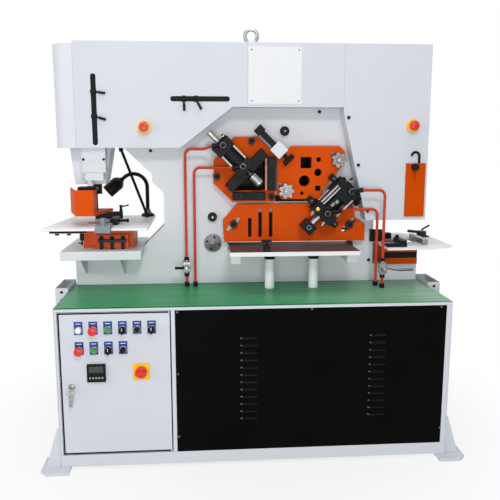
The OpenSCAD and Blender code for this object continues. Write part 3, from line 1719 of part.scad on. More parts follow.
angle_rest_bar();
color("firebrick") valve_lever(pipe_a_x, pipe_left_y, -lever_l);  // valve_lever_left
color("firebrick") valve_lever(pipe_c_x, pipe_c_y, lever_long);  // valve_lever_right
punch_fence();
feed_stop();
notch_fence();
work_lamp();
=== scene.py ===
"""A hydraulic ironworker: looks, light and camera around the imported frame.

Pieces are written in millimetres, in the frame's own axes: X right, -Y to the front, Z up.
Profiles of turned pieces are lists of (height, radius) pairs.
"""
import math

import bmesh
import bpy
from mathutils import Matrix, Vector


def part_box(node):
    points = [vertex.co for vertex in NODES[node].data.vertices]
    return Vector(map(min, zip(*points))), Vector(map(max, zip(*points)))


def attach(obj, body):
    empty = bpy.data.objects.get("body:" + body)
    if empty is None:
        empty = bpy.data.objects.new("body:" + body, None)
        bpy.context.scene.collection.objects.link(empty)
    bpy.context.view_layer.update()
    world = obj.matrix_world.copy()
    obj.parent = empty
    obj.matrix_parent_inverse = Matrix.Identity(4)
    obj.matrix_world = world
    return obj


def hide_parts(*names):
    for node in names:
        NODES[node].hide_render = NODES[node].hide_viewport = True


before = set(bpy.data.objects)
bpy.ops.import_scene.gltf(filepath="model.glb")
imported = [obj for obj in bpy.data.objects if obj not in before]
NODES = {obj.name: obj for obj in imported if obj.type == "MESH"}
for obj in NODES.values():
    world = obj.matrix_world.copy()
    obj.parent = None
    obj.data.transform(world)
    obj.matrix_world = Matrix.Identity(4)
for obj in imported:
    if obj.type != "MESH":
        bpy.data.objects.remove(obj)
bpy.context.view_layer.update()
MM = 0.001
R2 = math.sqrt(0.5)
SHARP = math.radians(38)


# Frames and solids

def span(node, digits=4):
    """A node's lowest and highest corners, rounded because a curve's facets fall short."""
    return [Vector([round(v / MM, digits) for v in corner]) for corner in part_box(node)]


def middle(node):
    low, high = span(node)
    return (low + high) / 2


def at(x, y, z, turn=0, axis="Y"):
    """A frame at a point, turned about one axis."""
    return Matrix.Translation((x, y, z)) @ Matrix.Rotation(math.radians(turn), 4, axis)


def front(x, y, z):
    """A frame whose Z points out of the machine's front."""
    return at(x, y, z, 90, "X")


def shifted(place, x=0, y=0, z=0):
    """A frame moved along its own axes."""
    return place @ Matrix.Translation((x, y, z))


def toward(start, end):
    """A frame at start whose Z runs to end."""
    way = Vector(end) - Vector(start)
    return Matrix.Translation(start) @ way.to_track_quat("Z", "Y").to_matrix().to_4x4()


def arc(centre, radius, start, stop, steps, y):
    """Points of an arc in the X-Z plane, by angle from +X toward +Z."""
    angles = [math.radians(start + (stop - start) * i / steps) for i in range(steps + 1)]
    return [(centre[0] + radius * math.cos(a), y, centre[1] + radius * math.sin(a)) for a in angles]


def along(points, step):
    """Points spread evenly along a path."""
    out = [Vector(points[0])]
    for a, b in zip(points, points[1:]):
        a, b = Vector(a), Vector(b)
        count = max(1, round((b - a).length / step))
        out += [a.lerp(b, i / count) for i in range(1, count + 1)]
    return out


class Piece:
    """Collects closed solids, then becomes one object on one body."""

    def __init__(self):
        self.bm = bmesh.new()

    def block(self, low, high, place=Matrix()):
        low, high = Vector(low), Vector(high)
        size = Matrix.Diagonal((*(high - low), 1))
        centre = Matrix.Translation((low + high) / 2)
        bmesh.ops.create_cube(self.bm, size=1, matrix=place @ centre @ size)
        return self

    def skin(self, rings, closed=False):
        """Faces between rings of points, with end caps unless the rings close on themselves."""
        rows = [[self.bm.verts.new(p) for p in ring] for ring in rings]
        pairs = list(zip(rows, rows[1:])) + ([(rows[-1], rows[0])] if closed else [])
        for a, b in pairs:
            for i in range(len(a)):
                j = (i + 1) % len(a)
                self.bm.faces.new((a[i], a[j], b[j], b[i]))
        if not closed:
            self.bm.faces.new(reversed(rows[0]))
            self.bm.faces.new(rows[-1])
        return self

    def lathe(self, place, profile, sides=32, start=0):
        """Turned about the frame's Z from (height, radius) pairs."""
        angles = [math.radians(start) + math.tau * i / sides for i in range(sides)]
        return self.skin([
            [place @ Vector((r * math.cos(a), r * math.sin(a), h)) for a in angles] for h, r in profile])

    def rod(self, start, end, r, sides=24):
        length = (Vector(end) - Vector(start)).length
        edge = min(0.8, r / 6)
        profile = [(0, r - edge), (edge, r), (length - edge, r), (length, r - edge)]
        return self.lathe(toward(start, end), profile, sides)

    def hexagon(self, place, r, low, high):
        edge = min(1.2, (high - low) / 5)
        profile = [(low, r - edge), (low + edge, r), (high - edge, r), (high, r - edge)]
        return self.lathe(place, profile, 6, 30)

    def tube(self, points, radii, sides=16):
        """A round bar along points, with one radius or one a point."""
        points = [Vector(p) for p in points]
        if not isinstance(radii, list):
            radii = [radii] * len(points)
        turns = [math.tau * k / sides for k in range(sides)]
        side, rings = None, []
        for i, p in enumerate(points):
            way = (points[min(i + 1, len(points) - 1)] - points[max(i - 1, 0)]).normalized()
            if side is None:
                side = way.orthogonal().normalized()
            side = (side - way * side.dot(way)).normalized()
            up = way.cross(side)
            rings.append([p + radii[i] * (side * math.cos(a) + up * math.sin(a)) for a in turns])
        return self.skin(rings)

    def ring(self, place, radius, thick, sides=40, section=10):
        """A torus about the frame's Z."""
        rings = []
        for i in range(sides):
            a = math.tau * i / sides
            points = []
            for k in range(section):
                b = math.tau * k / section
                reach = radius + thick * math.cos(b)
                spot = Vector((reach * math.cos(a), reach * math.sin(a), thick * math.sin(b)))
                points.append(place @ spot)
            rings.append(points)
        return self.skin(rings, closed=True)

    def done(self, name, look, body="frame", bevel=0, replaces=()):
        bmesh.ops.recalc_face_normals(self.bm, faces=self.bm.faces)
        bmesh.ops.scale(self.bm, vec=(MM, MM, MM), verts=self.bm.verts)
        mesh = bpy.data.meshes.new(name)
        self.bm.to_mesh(mesh)
        self.bm.free()
        obj = bpy.data.objects.new(name, mesh)
        bpy.context.scene.collection.objects.link(obj)
        mesh.materials.append(LOOKS[look])
        mesh.polygons.foreach_set("use_smooth", [True] * len(mesh.polygons))
        mesh.set_sharp_from_angle(angle=SHARP)
        if bevel:
            soften(obj, bevel)
        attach(obj, body)
        if replaces:
            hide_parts(*replaces)
        return obj


def soften(obj, width, weld=False):
    """Rounds an object's sharp edges with modifiers."""
    if weld:
        join = obj.modifiers.new("join", "WELD")
        join.merge_threshold = 2e-5
        flat = obj.modifiers.new("flat", "DECIMATE")
        flat.decimate_type = "DISSOLVE"
        flat.angle_limit = math.radians(0.5)
    edge = obj.modifiers.new("edge", "BEVEL")
    edge.width = width * MM
    edge.segments = 2
    edge.limit_method = "ANGLE"
    edge.angle_limit = SHARP
    edge.use_clamp_overlap = True
    shade = obj.modifiers.new("shade", "WEIGHTED_NORMAL")
    shade.keep_sharp = False


# Places and planes that pieces stand on

MAT_LOW, MAT_HIGH = span("bench_mat")
FRONT, BENCH = MAT_LOW.y, MAT_HIGH.z
PANEL_LOW, PANEL_HIGH = span("louvre_panel")
DOOR_LOW, DOOR_HIGH = span("door")
HOOD_LOW, HOOD_HIGH = span("middle_cover")
HOOD = HOOD_LOW.y
PUNCH_LOW, PUNCH_HIGH = span("punch_table")
PUNCH_TABLE = PUNCH_HIGH.z
PUNCH_X = round(middle("punch_ram").x, 1)
DIE_LOW = span("die_block")[0]
STRIPPER_LOW = span("stripper_guard")[0]
FENCE_LOW, FENCE_HIGH = span("punch_fence")
ANGLE_LOW, ANGLE_HIGH = span("angle_plate", 1)
SECTION_LOW, SECTION_HIGH = span("section_plate", 1)
FLAT_LOW, FLAT_HIGH = span("flat_plate", 1)
FEED_LOW, FEED_HIGH = span("feed_table")
NOTCH_LOW = span("notch_table")[0]
GUARD_LOW = span("notch_guard")[0]
PLATE_FACE, PLATE_BACK = FLAT_LOW.y, FLAT_HIGH.y
FRAME_FACE, FRAME_BACK = ANGLE_HIGH.y, span("main_frame")[1].y
PIVOT = Vector((PUNCH_X + 532, FRAME_FACE - 10, BENCH + 188))
ANGLE_CLAMP = Vector((ANGLE_LOW.x + 88, PLATE_FACE - 40.3, ANGLE_LOW.z + 201))
FLAT_CLAMP = Vector((FLAT_LOW.x + 493, PLATE_FACE - 49, FLAT_LOW.z + 185))
LOUVRE_OUT = 7
PIVOT_REACH = 43
DIE_BAR = 16.1
STRIPPER_PLATE = 112.8
FENCE_BLOCK = 90.5
NOTCH_PLATE = 8.2
GUARD_PLATE = 236.5
SHOE_TOP = 137
RAM_SHOULDER = 106
GAP = 0.3


# Looks

LOOKS = {}


def linear(rgb):
    return [c / 255 / 12.92 if c <= 10 else ((c / 255 + 0.055) / 1.055) ** 2.4 for c in rgb] + [1]


def fill(node, **values):
    """Sets a node's own settings, and its inputs by name."""
    for key, value in values.items():
        if hasattr(node, key):
            setattr(node, key, value)
        else:
            node.inputs[key.replace("_", " ")].default_value = value
    return node


def tools_of(tree):
    """Short calls that add and wire a tree's nodes."""
    def node(kind, **values):
        return fill(tree.nodes.new("ShaderNode" + kind), **values)

    return node, tree.links.new


def look(name, rgb, rough, metal=0, vary=0.06, patch=5, grain=900, bump=0.06, stretch=(1, 1, 1),
         coat=0, shine=0.5, second=None, mask=None, glow=0):
    """A procedural surface. mask picks where the second (rgb, rough, metal) shows."""
    made = bpy.data.materials.new(name)
    made.use_nodes = True
    shader = made.node_tree.nodes["Principled BSDF"]
    node, wire = tools_of(made.node_tree)
    where = node("TexCoord")
    scaled = node("Mapping", Scale=stretch)
    wire(where.outputs["Object"], scaled.inputs["Vector"])
    clouds = node("TexNoise", Scale=patch, Detail=5, Roughness=0.6)
    wire(scaled.outputs["Vector"], clouds.inputs["Vector"])
    share = node("MapRange", From_Min=0.3, From_Max=0.7)
    wire(clouds.outputs["Fac"], share.inputs["Value"])

    def tones(colour):
        base = linear(colour)
        mix = node("Mix", data_type="RGBA")
        sockets = [s for s in mix.inputs if s.type == "RGBA"]
        sockets[0].default_value = [c * (1 - vary) for c in base[:3]] + [1]
        sockets[1].default_value = [min(1, c * (1 + vary)) for c in base[:3]] + [1]
        wire(share.outputs["Result"], mix.inputs[0])
        return [s for s in mix.outputs if s.type == "RGBA"][0]

    def sheen(value):
        spread = node("MapRange", To_Min=max(0.03, value - 0.07), To_Max=min(1, value + 0.09))
        wire(clouds.outputs["Fac"], spread.inputs["Value"])
        return spread.outputs["Result"]

    def blended(a, b, factor, kind):
        mix = node("Mix", data_type=kind)
        wire(factor, mix.inputs[0])
        wanted = "RGBA" if kind == "RGBA" else "VALUE"
        ends = [s for s in mix.inputs if s.type == wanted][-2:]
        for value, socket in zip((a, b), ends):
            if isinstance(value, float):
                socket.default_value = value
            else:
                wire(value, socket)
        return [s for s in mix.outputs if s.type == wanted][0]

    colour, smooth = tones(rgb), sheen(rough)
    if second:
        factor = mask(node, wire, where)
        colour = blended(colour, tones(second[0]), factor, "RGBA")
        smooth = blended(smooth, sheen(second[1]), factor, "FLOAT")
        wire(blended(float(metal), float(second[2]), factor, "FLOAT"), shader.inputs["Metallic"])
    else:
        fill(shader, Metallic=metal)
    wire(colour, shader.inputs["Base Color"])
    wire(smooth, shader.inputs["Roughness"])
    fill(shader, Specular_IOR_Level=shine, Coat_Weight=coat, Coat_Roughness=0.15)
    if glow:
        fill(shader, Emission_Color=linear(rgb), Emission_Strength=glow)
    fine = node("TexNoise", Scale=grain, Detail=2)
    wire(scaled.outputs["Vector"], fine.inputs["Vector"])
    relief = node("Bump", Strength=bump, Distance=0.0006)
    wire(fine.outputs["Fac"], relief.inputs["Height"])
    wire(relief.outputs["Normal"], shader.inputs["Normal"])
    LOOKS[name] = made


def past(way, level, output="Object"):
    """Where a place in millimetres, or a normal, lies further along a way than a level."""
    def mask(node, wire, where):
        share = node("VectorMath", operation="DOT_PRODUCT")
        share.inputs[1].default_value = way
        wire(where.outputs[output], share.inputs[0])
        test = node("Math", operation="GREATER_THAN")
        test.inputs[1].default_value = level * MM if output == "Object" else level
        wire(share.outputs["Value"], test.inputs[0])
        return test.outputs["Value"]
    return mask


def bright_fasteners(node, wire, where):
    """The lifting eye and the pivot's cap, among the black bolts."""
    eye = past(UP, HOOD_HIGH.z + 0.2)(node, wire, where)
    away = node("VectorMath", operation="DISTANCE")
    away.inputs[1].default_value = (PIVOT + Vector((0, 5, 0))) * MM
    wire(where.outputs["Object"], away.inputs[0])
    near = node("Math", operation="LESS_THAN")
    near.inputs[1].default_value = PIVOT_REACH * MM
    wire(away.outputs["Value"], near.inputs[0])
    both = node("Math", operation="MAXIMUM")
    wire(eye, both.inputs[0])
    wire(near.outputs["Value"], both.inputs[1])
    return both.outputs["Value"]


def painted_end_sheen(node, wire, where):
    """The mat's right end, painted paler: a painted reflection of the bright surroundings in its gloss."""
    apart = node("SeparateXYZ")
    wire(where.outputs["Object"], apart.inputs[0])
    reflected = node("MapRange", From_Min=0.1, From_Max=0.75, To_Max=0.45)
    wire(apart.outputs["X"], reflected.inputs["Value"])
    return reflected.outputs["Result"]


FORWARD, BACK, UP = (0, -1, 0), (0, 1, 0), (0, 0, 1)
ORANGE = (214, 79, 6)
BLACK = (16, 16, 18)
CHROME = (158, 157, 153)
look("paint", (205, 209, 216), 0.42, vary=0.02, patch=2.5, grain=700, bump=0.05, shine=0.35)
look("pale", (238, 239, 240), 0.4, vary=0.02, patch=3, grain=700, bump=0.05, shine=0.35)
look("shade_paint", (214, 217, 222), 0.46, vary=0.03, patch=3, grain=600, shine=0.3)
# The louvres, standing out past the panel's face, get a lighter black: a painted highlight.
look("panel", (9, 9, 10), 0.5, vary=0.2, patch=4, grain=800, bump=0.08, shine=0.02,
     second=((34, 34, 36), 0.4, 0), mask=past(FORWARD, -PANEL_LOW.y - LOUVRE_OUT / 2))
look("orange", ORANGE, 0.48, vary=0.05, patch=6, grain=650, bump=0.07, shine=0.06)
look("red_pipe", (192, 60, 30), 0.34, vary=0.1, patch=14, grain=800, bump=0.05, shine=0.2)
# The mat's paler colour towards its right end is a painted reflection.
look("mat", (46, 134, 84), 0.3, vary=0.3, patch=7, grain=500, bump=0.1, stretch=(0.3, 7, 7),
     shine=0.12, second=((168, 190, 176), 0.34, 0), mask=painted_end_sheen)
look("steel", (140, 142, 146), 0.3, 0.95, vary=0.1, patch=20, grain=260, stretch=(0.3, 3, 3))
look("chrome", CHROME, 0.3, 1, vary=0.2, patch=30, bump=0.02)
look("alloy", (126, 124, 125), 0.34, 0.9, vary=0.3, patch=30, grain=500, bump=0.16)
look("black_steel", (17, 17, 19), 0.45, vary=0.24, patch=14, grain=500, bump=0.08, shine=0.14)
look("black", BLACK, 0.42, vary=0.2, patch=18, bump=0.08, shine=0.14)
# A lighter black for the rims of bolt and screw heads: a painted highlight.
look("rim_highlight_black", (50, 51, 53), 0.36, vary=0.2, patch=30, grain=600, shine=0.3)
# Black rubber; also the colour of dark sheets that stand in for shade.
look("rubber_and_painted_shade", (18, 18, 19), 0.62, vary=0.2, patch=24, grain=1100, bump=0.14, shine=0.1)
look("red", (208, 30, 28), 0.3, vary=0.08, patch=24, grain=1200, bump=0.03, coat=0.2)
look("green", (36, 142, 66), 0.32, vary=0.1, patch=30, grain=1200, bump=0.03, coat=0.15)
look("yellow", (244, 190, 24), 0.36, patch=20, grain=1000, bump=0.03, shine=0.3)
look("blue", (24, 58, 140), 0.38, vary=0.08, patch=30, grain=1000, bump=0.03, shine=0.3)
look("white", (224, 225, 227), 0.36, vary=0.02, patch=20, bump=0.03, shine=0.35)
look("lens", (240, 240, 236), 0.12, vary=0.03, patch=30, grain=500, bump=0.04, coat=0.6, glow=0.1)
look("screen", (40, 48, 46), 0.14, vary=0.15, patch=40, bump=0.02, coat=0.4)
look("brass", (196, 158, 84), 0.26, 0.95, vary=0.08, patch=30, grain=800, bump=0.04)
look("maroon", (98, 44, 52), 0.4, vary=0.14, patch=16, grain=600, bump=0.08, stretch=(0.3, 2, 2),
     shine=0.3)
look("strip", (62, 60, 62), 0.46, vary=0.16, patch=12, grain=700, bump=0.1, stretch=(0.3, 2, 2), shine=0.2)
look("turned", (104, 105, 108), 0.4, 0.9, vary=0.16, patch=26, grain=380, bump=0.12, stretch=(4, 1, 0.4))
look("tank", (92, 98, 100), 0.42, vary=0.08, patch=6, grain=500, bump=0.08)
look("gallery", (150, 154, 156), 0.4, vary=0.08, patch=8, grain=600, bump=0.05)
look("bolts", (17, 17, 19), 0.42, vary=0.2, patch=30, grain=600, shine=0.15,
     second=((170, 172, 176), 0.3, 0.9), mask=bright_fasteners)
look("feed_top", (232, 234, 236), 0.4, vary=0.03, patch=6, grain=600, bump=0.05, shine=0.35,
     second=((80, 76, 78), 0.4, 0), mask=past(UP, 0.5, "Normal"))
look("bed", (216, 218, 222), 0.4, vary=0.04, patch=6, grain=500, shine=0.35,
     second=((214, 214, 216), 0.34, 0.3), mask=past(UP, 0.5, "Normal"))
look("die", BLACK, 0.42, 0.1, vary=0.1, patch=8, grain=650, bump=0.07, shine=0.25,
     second=(ORANGE, 0.44, 0), mask=past(BACK, DIE_LOW.y + DIE_BAR))
look("stripper", ORANGE, 0.5, vary=0.05, patch=8, grain=650, bump=0.02, shine=0.06,
     second=(BLACK, 0.4, 0.1), mask=past(UP, STRIPPER_LOW.z + STRIPPER_PLATE))
look("fence", (122, 128, 136), 0.4, 0.2, vary=0.14, patch=14, grain=400, bump=0.08, shine=0.2,
     second=((26, 27, 29), 0.42, 0), mask=past(BACK, FENCE_LOW.y + FENCE_BLOCK))
look("notch_top", (238, 239, 240), 0.38, vary=0.02, patch=4, grain=600, bump=0.05, shine=0.35,
     second=(BLACK, 0.42, 0.1), mask=past(UP, NOTCH_LOW.z + NOTCH_PLATE + 0.2))
look("guard", (196, 72, 0), 0.48, vary=0.05, patch=8, grain=650, bump=0.07, shine=0.05,
     second=(BLACK, 0.4, 0.1), mask=past(UP, GUARD_LOW.z + GUARD_PLATE))
look("shoe", CHROME, 0.3, 1, vary=0.12, patch=30, grain=600, bump=0.04, shine=0.14,
     second=((20, 20, 22), 0.45, 0),
     mask=past((-R2, 0, -R2), SHOE_TOP - R2 * (FLAT_CLAMP.x + FLAT_CLAMP.z)))
look("ram", (160, 161, 163), 0.3, 1, vary=0.2, patch=30, bump=0.03, shine=0.3,
     second=(BLACK, 0.42, 0),
     mask=past((-R2, 0, R2), R2 * (ANGLE_CLAMP.z - ANGLE_CLAMP.x) - RAM_SHOULDER))

DRESS = {
    "paint": ["left_cover", "middle_cover", "right_cover", "door", "base_cabinet"],
    "pale": ["punch_table", "support_posts"],
    "shade_paint": ["main_frame", "cylinder_shroud"],
    "panel": ["louvre_panel"],
    "orange": ["angle_plate", "section_plate", "flat_plate", "notch_bed"],
    "mat": ["bench_mat"],
    "bolts": ["fasteners"],
    "feed_top": ["feed_table"],
    "bed": ["punch_bed"],
    "die": ["die_block"],
    "stripper": ["stripper_guard"],
    "fence": ["punch_fence"],
    "notch_top": ["notch_table"],
    "guard": ["notch_guard"],
    "shoe": ["flat_clamp_rod"],
    "ram": ["angle_clamp_rod"],
    "chrome": ["shear_rod", "door_key"],
    "steel": ["notch_fence"],
    "alloy": ["star_knob_low", "star_knob_high"],
    "black_steel": ["clamp_cylinders", "blade_holders", "angle_rest_bar", "main_cylinders", "punch_ram",
                    "shear_beam", "feed_stop", "valve_lever_left"],
    "black": ["black_button_1", "black_button_2", "selector_1", "selector_2", "selector_3"],
    "red": ["stop_button_1", "stop_button_2", "main_switch", "estop_left", "estop_right"],
    "green": ["green_button_1", "green_button_2"],
    "tank": ["hydraulic_unit"],
    "gallery": ["electrical_plate"],
}
SOFT_EDGES = {
    3: ["left_cover", "middle_cover", "right_cover"],
    2.5: ["star_knob_low", "star_knob_high"],
    2: ["cylinder_shroud", "main_frame"],
    1.8: ["clamp_cylinders"],
    1.5: ["door", "punch_table", "angle_plate", "section_plate", "flat_plate", "notch_bed", "punch_bed",
          "die_block", "blade_holders", "angle_rest_bar", "main_switch"],
    1.2: ["base_cabinet", "feed_table", "stripper_guard", "punch_fence", "notch_table", "notch_guard",
          "feed_stop", "notch_fence", "flat_clamp_rod"],
    1: ["bench_mat", "angle_clamp_rod"],
    0.8: ["louvre_panel", "fasteners", "valve_lever_left"],
}
for name, nodes in DRESS.items():
    for node_name in nodes:
        mesh = NODES[node_name].data
        mesh.materials.clear()
        mesh.materials.append(LOOKS[name])
for width, nodes in SOFT_EDGES.items():
    for node_name in nodes:
        soften(NODES[node_name], width, weld=True)


# Lamp

LAMP_R = 32
LAMP = Vector((span("work_lamp")[1].x - LAMP_R, middle("work_lamp").y, span("work_lamp")[0].z))
LAMP_BASE = [(0, LAMP_R), (9, LAMP_R), (13, LAMP_R - 3), (13.4, 18)]
LAMP_COLLAR = [(13, 20), (19, 20), (24, 15), (33, 13.6), (35, 10.4)]
LAMP_HEAD = [
    (-4, 13.5), (3, 15), (6, 22), (18, 30), (22, 32.8), (88, 32.8), (91.5, 31.5), (91.5, 28.5), (84, 27)]
LAMP_GLASS = [(84.4, 27), (88, 26), (89.5, 14)]
NECK_FOOT, NECK_RISE, NECK_BEND, NECK_TURN, NECK_END = 12, 144, 66, 131, 20
NECK_R, NECK_GROOVE, NECK_PITCH, NECK_LEAN = 10, 1.4, 3.2, -0.2

lamp = Piece().lathe(at(*LAMP), LAMP_BASE, 40)
bend = arc((LAMP.x - NECK_BEND, LAMP.z + NECK_RISE), NECK_BEND, 0, NECK_TURN, 18, LAMP.y)
nod = math.radians(NECK_TURN)
aim = Vector((-math.sin(nod), NECK_LEAN, math.cos(nod))).normalized()
tip = Vector(bend[-1]) + NECK_END * aim
neck = along([LAMP + Vector((0, 0, NECK_FOOT))] + bend + [tip], NECK_PITCH)
lamp.tube(neck, [NECK_R if i % 2 else NECK_R - NECK_GROOVE for i in range(len(neck))], 18)
head = toward(tip, tip + aim)
lamp.lathe(head, LAMP_HEAD, 40).done("lamp", "black", "work_lamp", replaces=("work_lamp",))
Piece().lathe(head, LAMP_GLASS, 36).done("lamp_glass", "lens", "work_lamp")
Piece().lathe(at(*LAMP), LAMP_COLLAR, 36).done("lamp_collar", "turned", "work_lamp")

# The lamp's lead, taut between two glands

LEAD_R, LEAD_GROOVE, LEAD_PITCH, LEAD_STEP, LEAD_IN = 7, 0.7, 3, 12, 9
GLAND_R, GLAND_HEX, GLAND_H = 12, 12.4, 8
GLAND = [(7, 10.8), (14, 10.4), (20, 8.6)]
cable_low, cable_high = span("lamp_cable", 1)
foot = Vector((cable_high.x - GLAND_R, cable_high.y - GLAND_R, cable_low.z))
top = Vector((cable_low.x + GLAND_R, cable_low.y + GLAND_R, cable_high.z))
lead_start, lead_end = foot + Vector((0, 0, LEAD_IN)), top - Vector((0, 0, LEAD_IN))
ridges = along([lead_start, lead_end], LEAD_PITCH)
lead = Piece().tube(ridges, [LEAD_R if i % 2 else LEAD_R - LEAD_GROOVE for i in range(len(ridges))])
lead = lead.done("lamp_lead", "rubber_and_painted_shade", replaces=("lamp_cable",))
glands = Piece().hexagon(at(*foot), GLAND_HEX, 0, GLAND_H).hexagon(at(*top), GLAND_HEX, -GLAND_H, 0)
glands.lathe(at(*foot), GLAND).lathe(at(*top), [(-h, r) for h, r in reversed(GLAND)])
glands = glands.done("lead_glands", "black")
[p * MM for p in along([lead_start, lead_end], LEAD_STEP)]

# Control door

PITCH = middle("green_button_1").x - middle("stop_button_1").x
FIRST, HIGH_ROW, LOW_ROW = middle("stop_button_2").x, middle("stop_button_1").z, middle("stop_button_2").z
ROWS = [(FIRST + PITCH * i, HIGH_ROW) for i in range(6)] + [(FIRST + PITCH * i, LOW_ROW) for i in range(4)]
LEGEND_SIDE, LEGEND_DROP, LEGEND_RISE, LEGEND_T = 17, 19, 34, 1.2
STRIP_SIDE, STRIP_LOW, STRIP_HIGH, STRIP_T = 10, 24, 27, 1.6
BEZEL_R, BEZEL_T, BEZEL_OUT = 13.6, 1.7, 4.4
DOME_OUT, DOME = 13.4, [(0, 14.5), (1.5, 17.3), (8, 17.4), (12, 15.2), (14.6, 9.5), (15.3, 3)]
POINTER_OUT, POINTER_SIDE, POINTER_LOW, POINTER_HIGH = 30, 1.3, 1, 13
LENS_OUT, LENS = 4, [(0, 11.4), (9, 11.3), (12, 9), (13.4, 3)]
SWITCH = middle("main_switch")
SWITCH_SIDE, SWITCH_T = 33, 4.6
TIMER = SWITCH - Vector((176, 0, 0))
TIMER_SIDE, TIMER_T = 36.6, 14.4
WINDOW_SIDE, WINDOW_LOW, WINDOW_HIGH, WINDOW_T = 28, 4, 29, 15
KEYS, KEY_PITCH, KEY_DROP, KEY = 5, 12, 18, [(0, 4), (1.6, 4), (2.2, 3)]
LOCK = Vector((DOOR_LOW.x + 44, FRONT, DOOR_HIGH.z - 311))
BARREL = [(0, 14), (2, 14), (3, 11.4), (8.6, 11.2), (9.4, 9.5)]


def on_door(piece, x, z, side, low, high, out, back):
    """A plate before the door's face, by half its width, its two heights and its two depths."""
    return piece.block((x - side, FRONT - out, z + low), (x + side, FRONT - back, z + high))


plates, strips, bezels = Piece(), Piece(), Piece()
for x, z in ROWS:
    on_door(plates, x, z, LEGEND_SIDE, -LEGEND_DROP, LEGEND_RISE, LEGEND_T, -0.5)
    on_door(strips, x, z, STRIP_SIDE, STRIP_LOW, STRIP_HIGH, STRIP_T, 0.5)
    bezels.ring(front(x, FRONT - BEZEL_OUT, z), BEZEL_R, BEZEL_T, 32)
plates.done("legend_plates", "blue", "door", 0.5)
strips.done("legend_strips", "white", "door", 0.2)
bezels.done("control_bezels", "chrome", "door")
for name in ("stop_button_1", "stop_button_2"):
    dome = front(middle(name).x, FRONT - DOME_OUT, middle(name).z)
    Piece().lathe(dome, DOME).done(name + "_dome", "red", name)
for name in ("selector_1", "selector_2", "selector_3"):
    x, z = middle(name).x, middle(name).z
    pointer = on_door(Piece(), x, z, POINTER_SIDE, POINTER_LOW, POINTER_HIGH, POINTER_OUT, POINTER_OUT - 1)
    pointer.done(name + "_pointer", "white", name, 0.3)
Piece().lathe(front(FIRST, FRONT - LENS_OUT, HIGH_ROW), LENS).done("indicator_lens", "lens", "door")
case = on_door(Piece(), TIMER.x, TIMER.z, TIMER_SIDE, -TIMER_SIDE, TIMER_SIDE, TIMER_T, 0.1)
case.done("timer_case", "black", "door", 2.5)
window = on_door(Piece(), TIMER.x, TIMER.z, WINDOW_SIDE, WINDOW_LOW, WINDOW_HIGH, WINDOW_T, WINDOW_T - 2)
window.done("timer_window", "screen", "door", 0.6)
keys = Piece()
for i in range(KEYS):
    keys.lathe(front(TIMER.x + KEY_PITCH * (i - 2), FRONT - TIMER_T + GAP, TIMER.z - KEY_DROP), KEY, 20)
keys.done("timer_keys", "gallery", "door")
plate = on_door(Piece(), SWITCH.x, SWITCH.z, SWITCH_SIDE, -SWITCH_SIDE, SWITCH_SIDE, SWITCH_T, 0.1)
plate.done("switch_plate", "yellow", "door", 1.2)
Piece().lathe(front(*LOCK), BARREL).done("lock_barrel", "chrome", "door")

# A black strip along the door's edges: a gasket, and painted shade of the gap around the door.
SEAL_IN, SEAL_W, SEAL_HINGE = 1, 6, 4
SEAL_OUT, SEAL_BACK = FRONT - 0.8, FRONT + 0.4
LEAF_LOW, LEAF_HIGH = DOOR_LOW.z + 20, DOOR_HIGH.z - 6
seal_left, seal_right = DOOR_LOW.x + SEAL_IN, DOOR_HIGH.x - SEAL_HINGE
seal_low, seal_high = LEAF_LOW + SEAL_IN, LEAF_HIGH - SEAL_IN
seal_and_shade = Piece()
seal_and_shade.block((seal_left, SEAL_OUT, seal_high - SEAL_W), (seal_right, SEAL_BACK, seal_high))
seal_and_shade.block((seal_left, SEAL_OUT, seal_low), (seal_left + SEAL_W, SEAL_BACK, seal_high))
seal_and_shade.block((seal_left, SEAL_OUT, seal_low), (seal_right, SEAL_BACK, seal_low + SEAL_W))
seal_and_shade.done("door_seal_and_gap_shade", "rubber_and_painted_shade", "door", 0.2)

# Cabinet

BORDER_END, BORDER_IN, BORDER_W = 12, 2, 5
border = Piece()
for y in (MAT_LOW.y + BORDER_IN, MAT_HIGH.y - BORDER_IN - BORDER_W):
    border.block(
        (MAT_LOW.x + BORDER_END, y, BENCH - 0.5), (MAT_HIGH.x - BORDER_END, y + BORDER_W, BENCH + GAP))
border.done("mat_border", "rubber_and_painted_shade", bevel=0.1)

SCREW = [(0, 4.6), (1.2, 4.6), (3.4, 3.6), (4, 2)]
PANEL_SCREWS = [(9.7, 589.4), (547.7, 592.4), (1079.7, 590.4), (7.7, 333.4), (7.7, 65.4), (1099.7, 66.4)]
screws = Piece()
for across, up in PANEL_SCREWS:
    screws.lathe(front(PANEL_LOW.x + across, FRONT, PANEL_LOW.z + up), SCREW, 20)
screws.done("panel_screws", "turned")

# Bright metal beads at the louvres' ends: painted highlights.
LOUVRE_SHARES, LOUVRES, LOUVRE_PITCH, LOUVRE_FOOT = (0.236, 0.713), 12, 31, 138
LOUVRE_GLINT = [(-1.5, 1.2), (0, 3), (4, 3.2), (7, 1.2)]
ends = Piece()
for share in LOUVRE_SHARES:
    x = PANEL_LOW.x + share * (PANEL_HIGH.x - PANEL_LOW.x)
    for i in range(LOUVRES):
        z = PANEL_LOW.z + LOUVRE_FOOT + LOUVRE_PITCH * i
        ends.lathe(at(x, FRONT - LOUVRE_OUT / 2, z, 90), LOUVRE_GLINT, 12)
ends.done("louvre_end_glints", "turned")

TRAY_TOP, TRAY_BOLT_X, TRAY_FACE = span("base_cabinet")[1].z, 828, -107.5
TRAY_BOLT, TRAY_BOLT_DROPS = [(0, 6), (3, 6), (4, 4.6)], (52, 18)
bolts = Piece()
for side in (-1, 1):
    for drop in TRAY_BOLT_DROPS:
        bolts.lathe(front(side * TRAY_BOLT_X, TRAY_FACE, TRAY_TOP - drop), TRAY_BOLT, 20)
bolts.done("tray_bolts", "black_steel")

# Hood

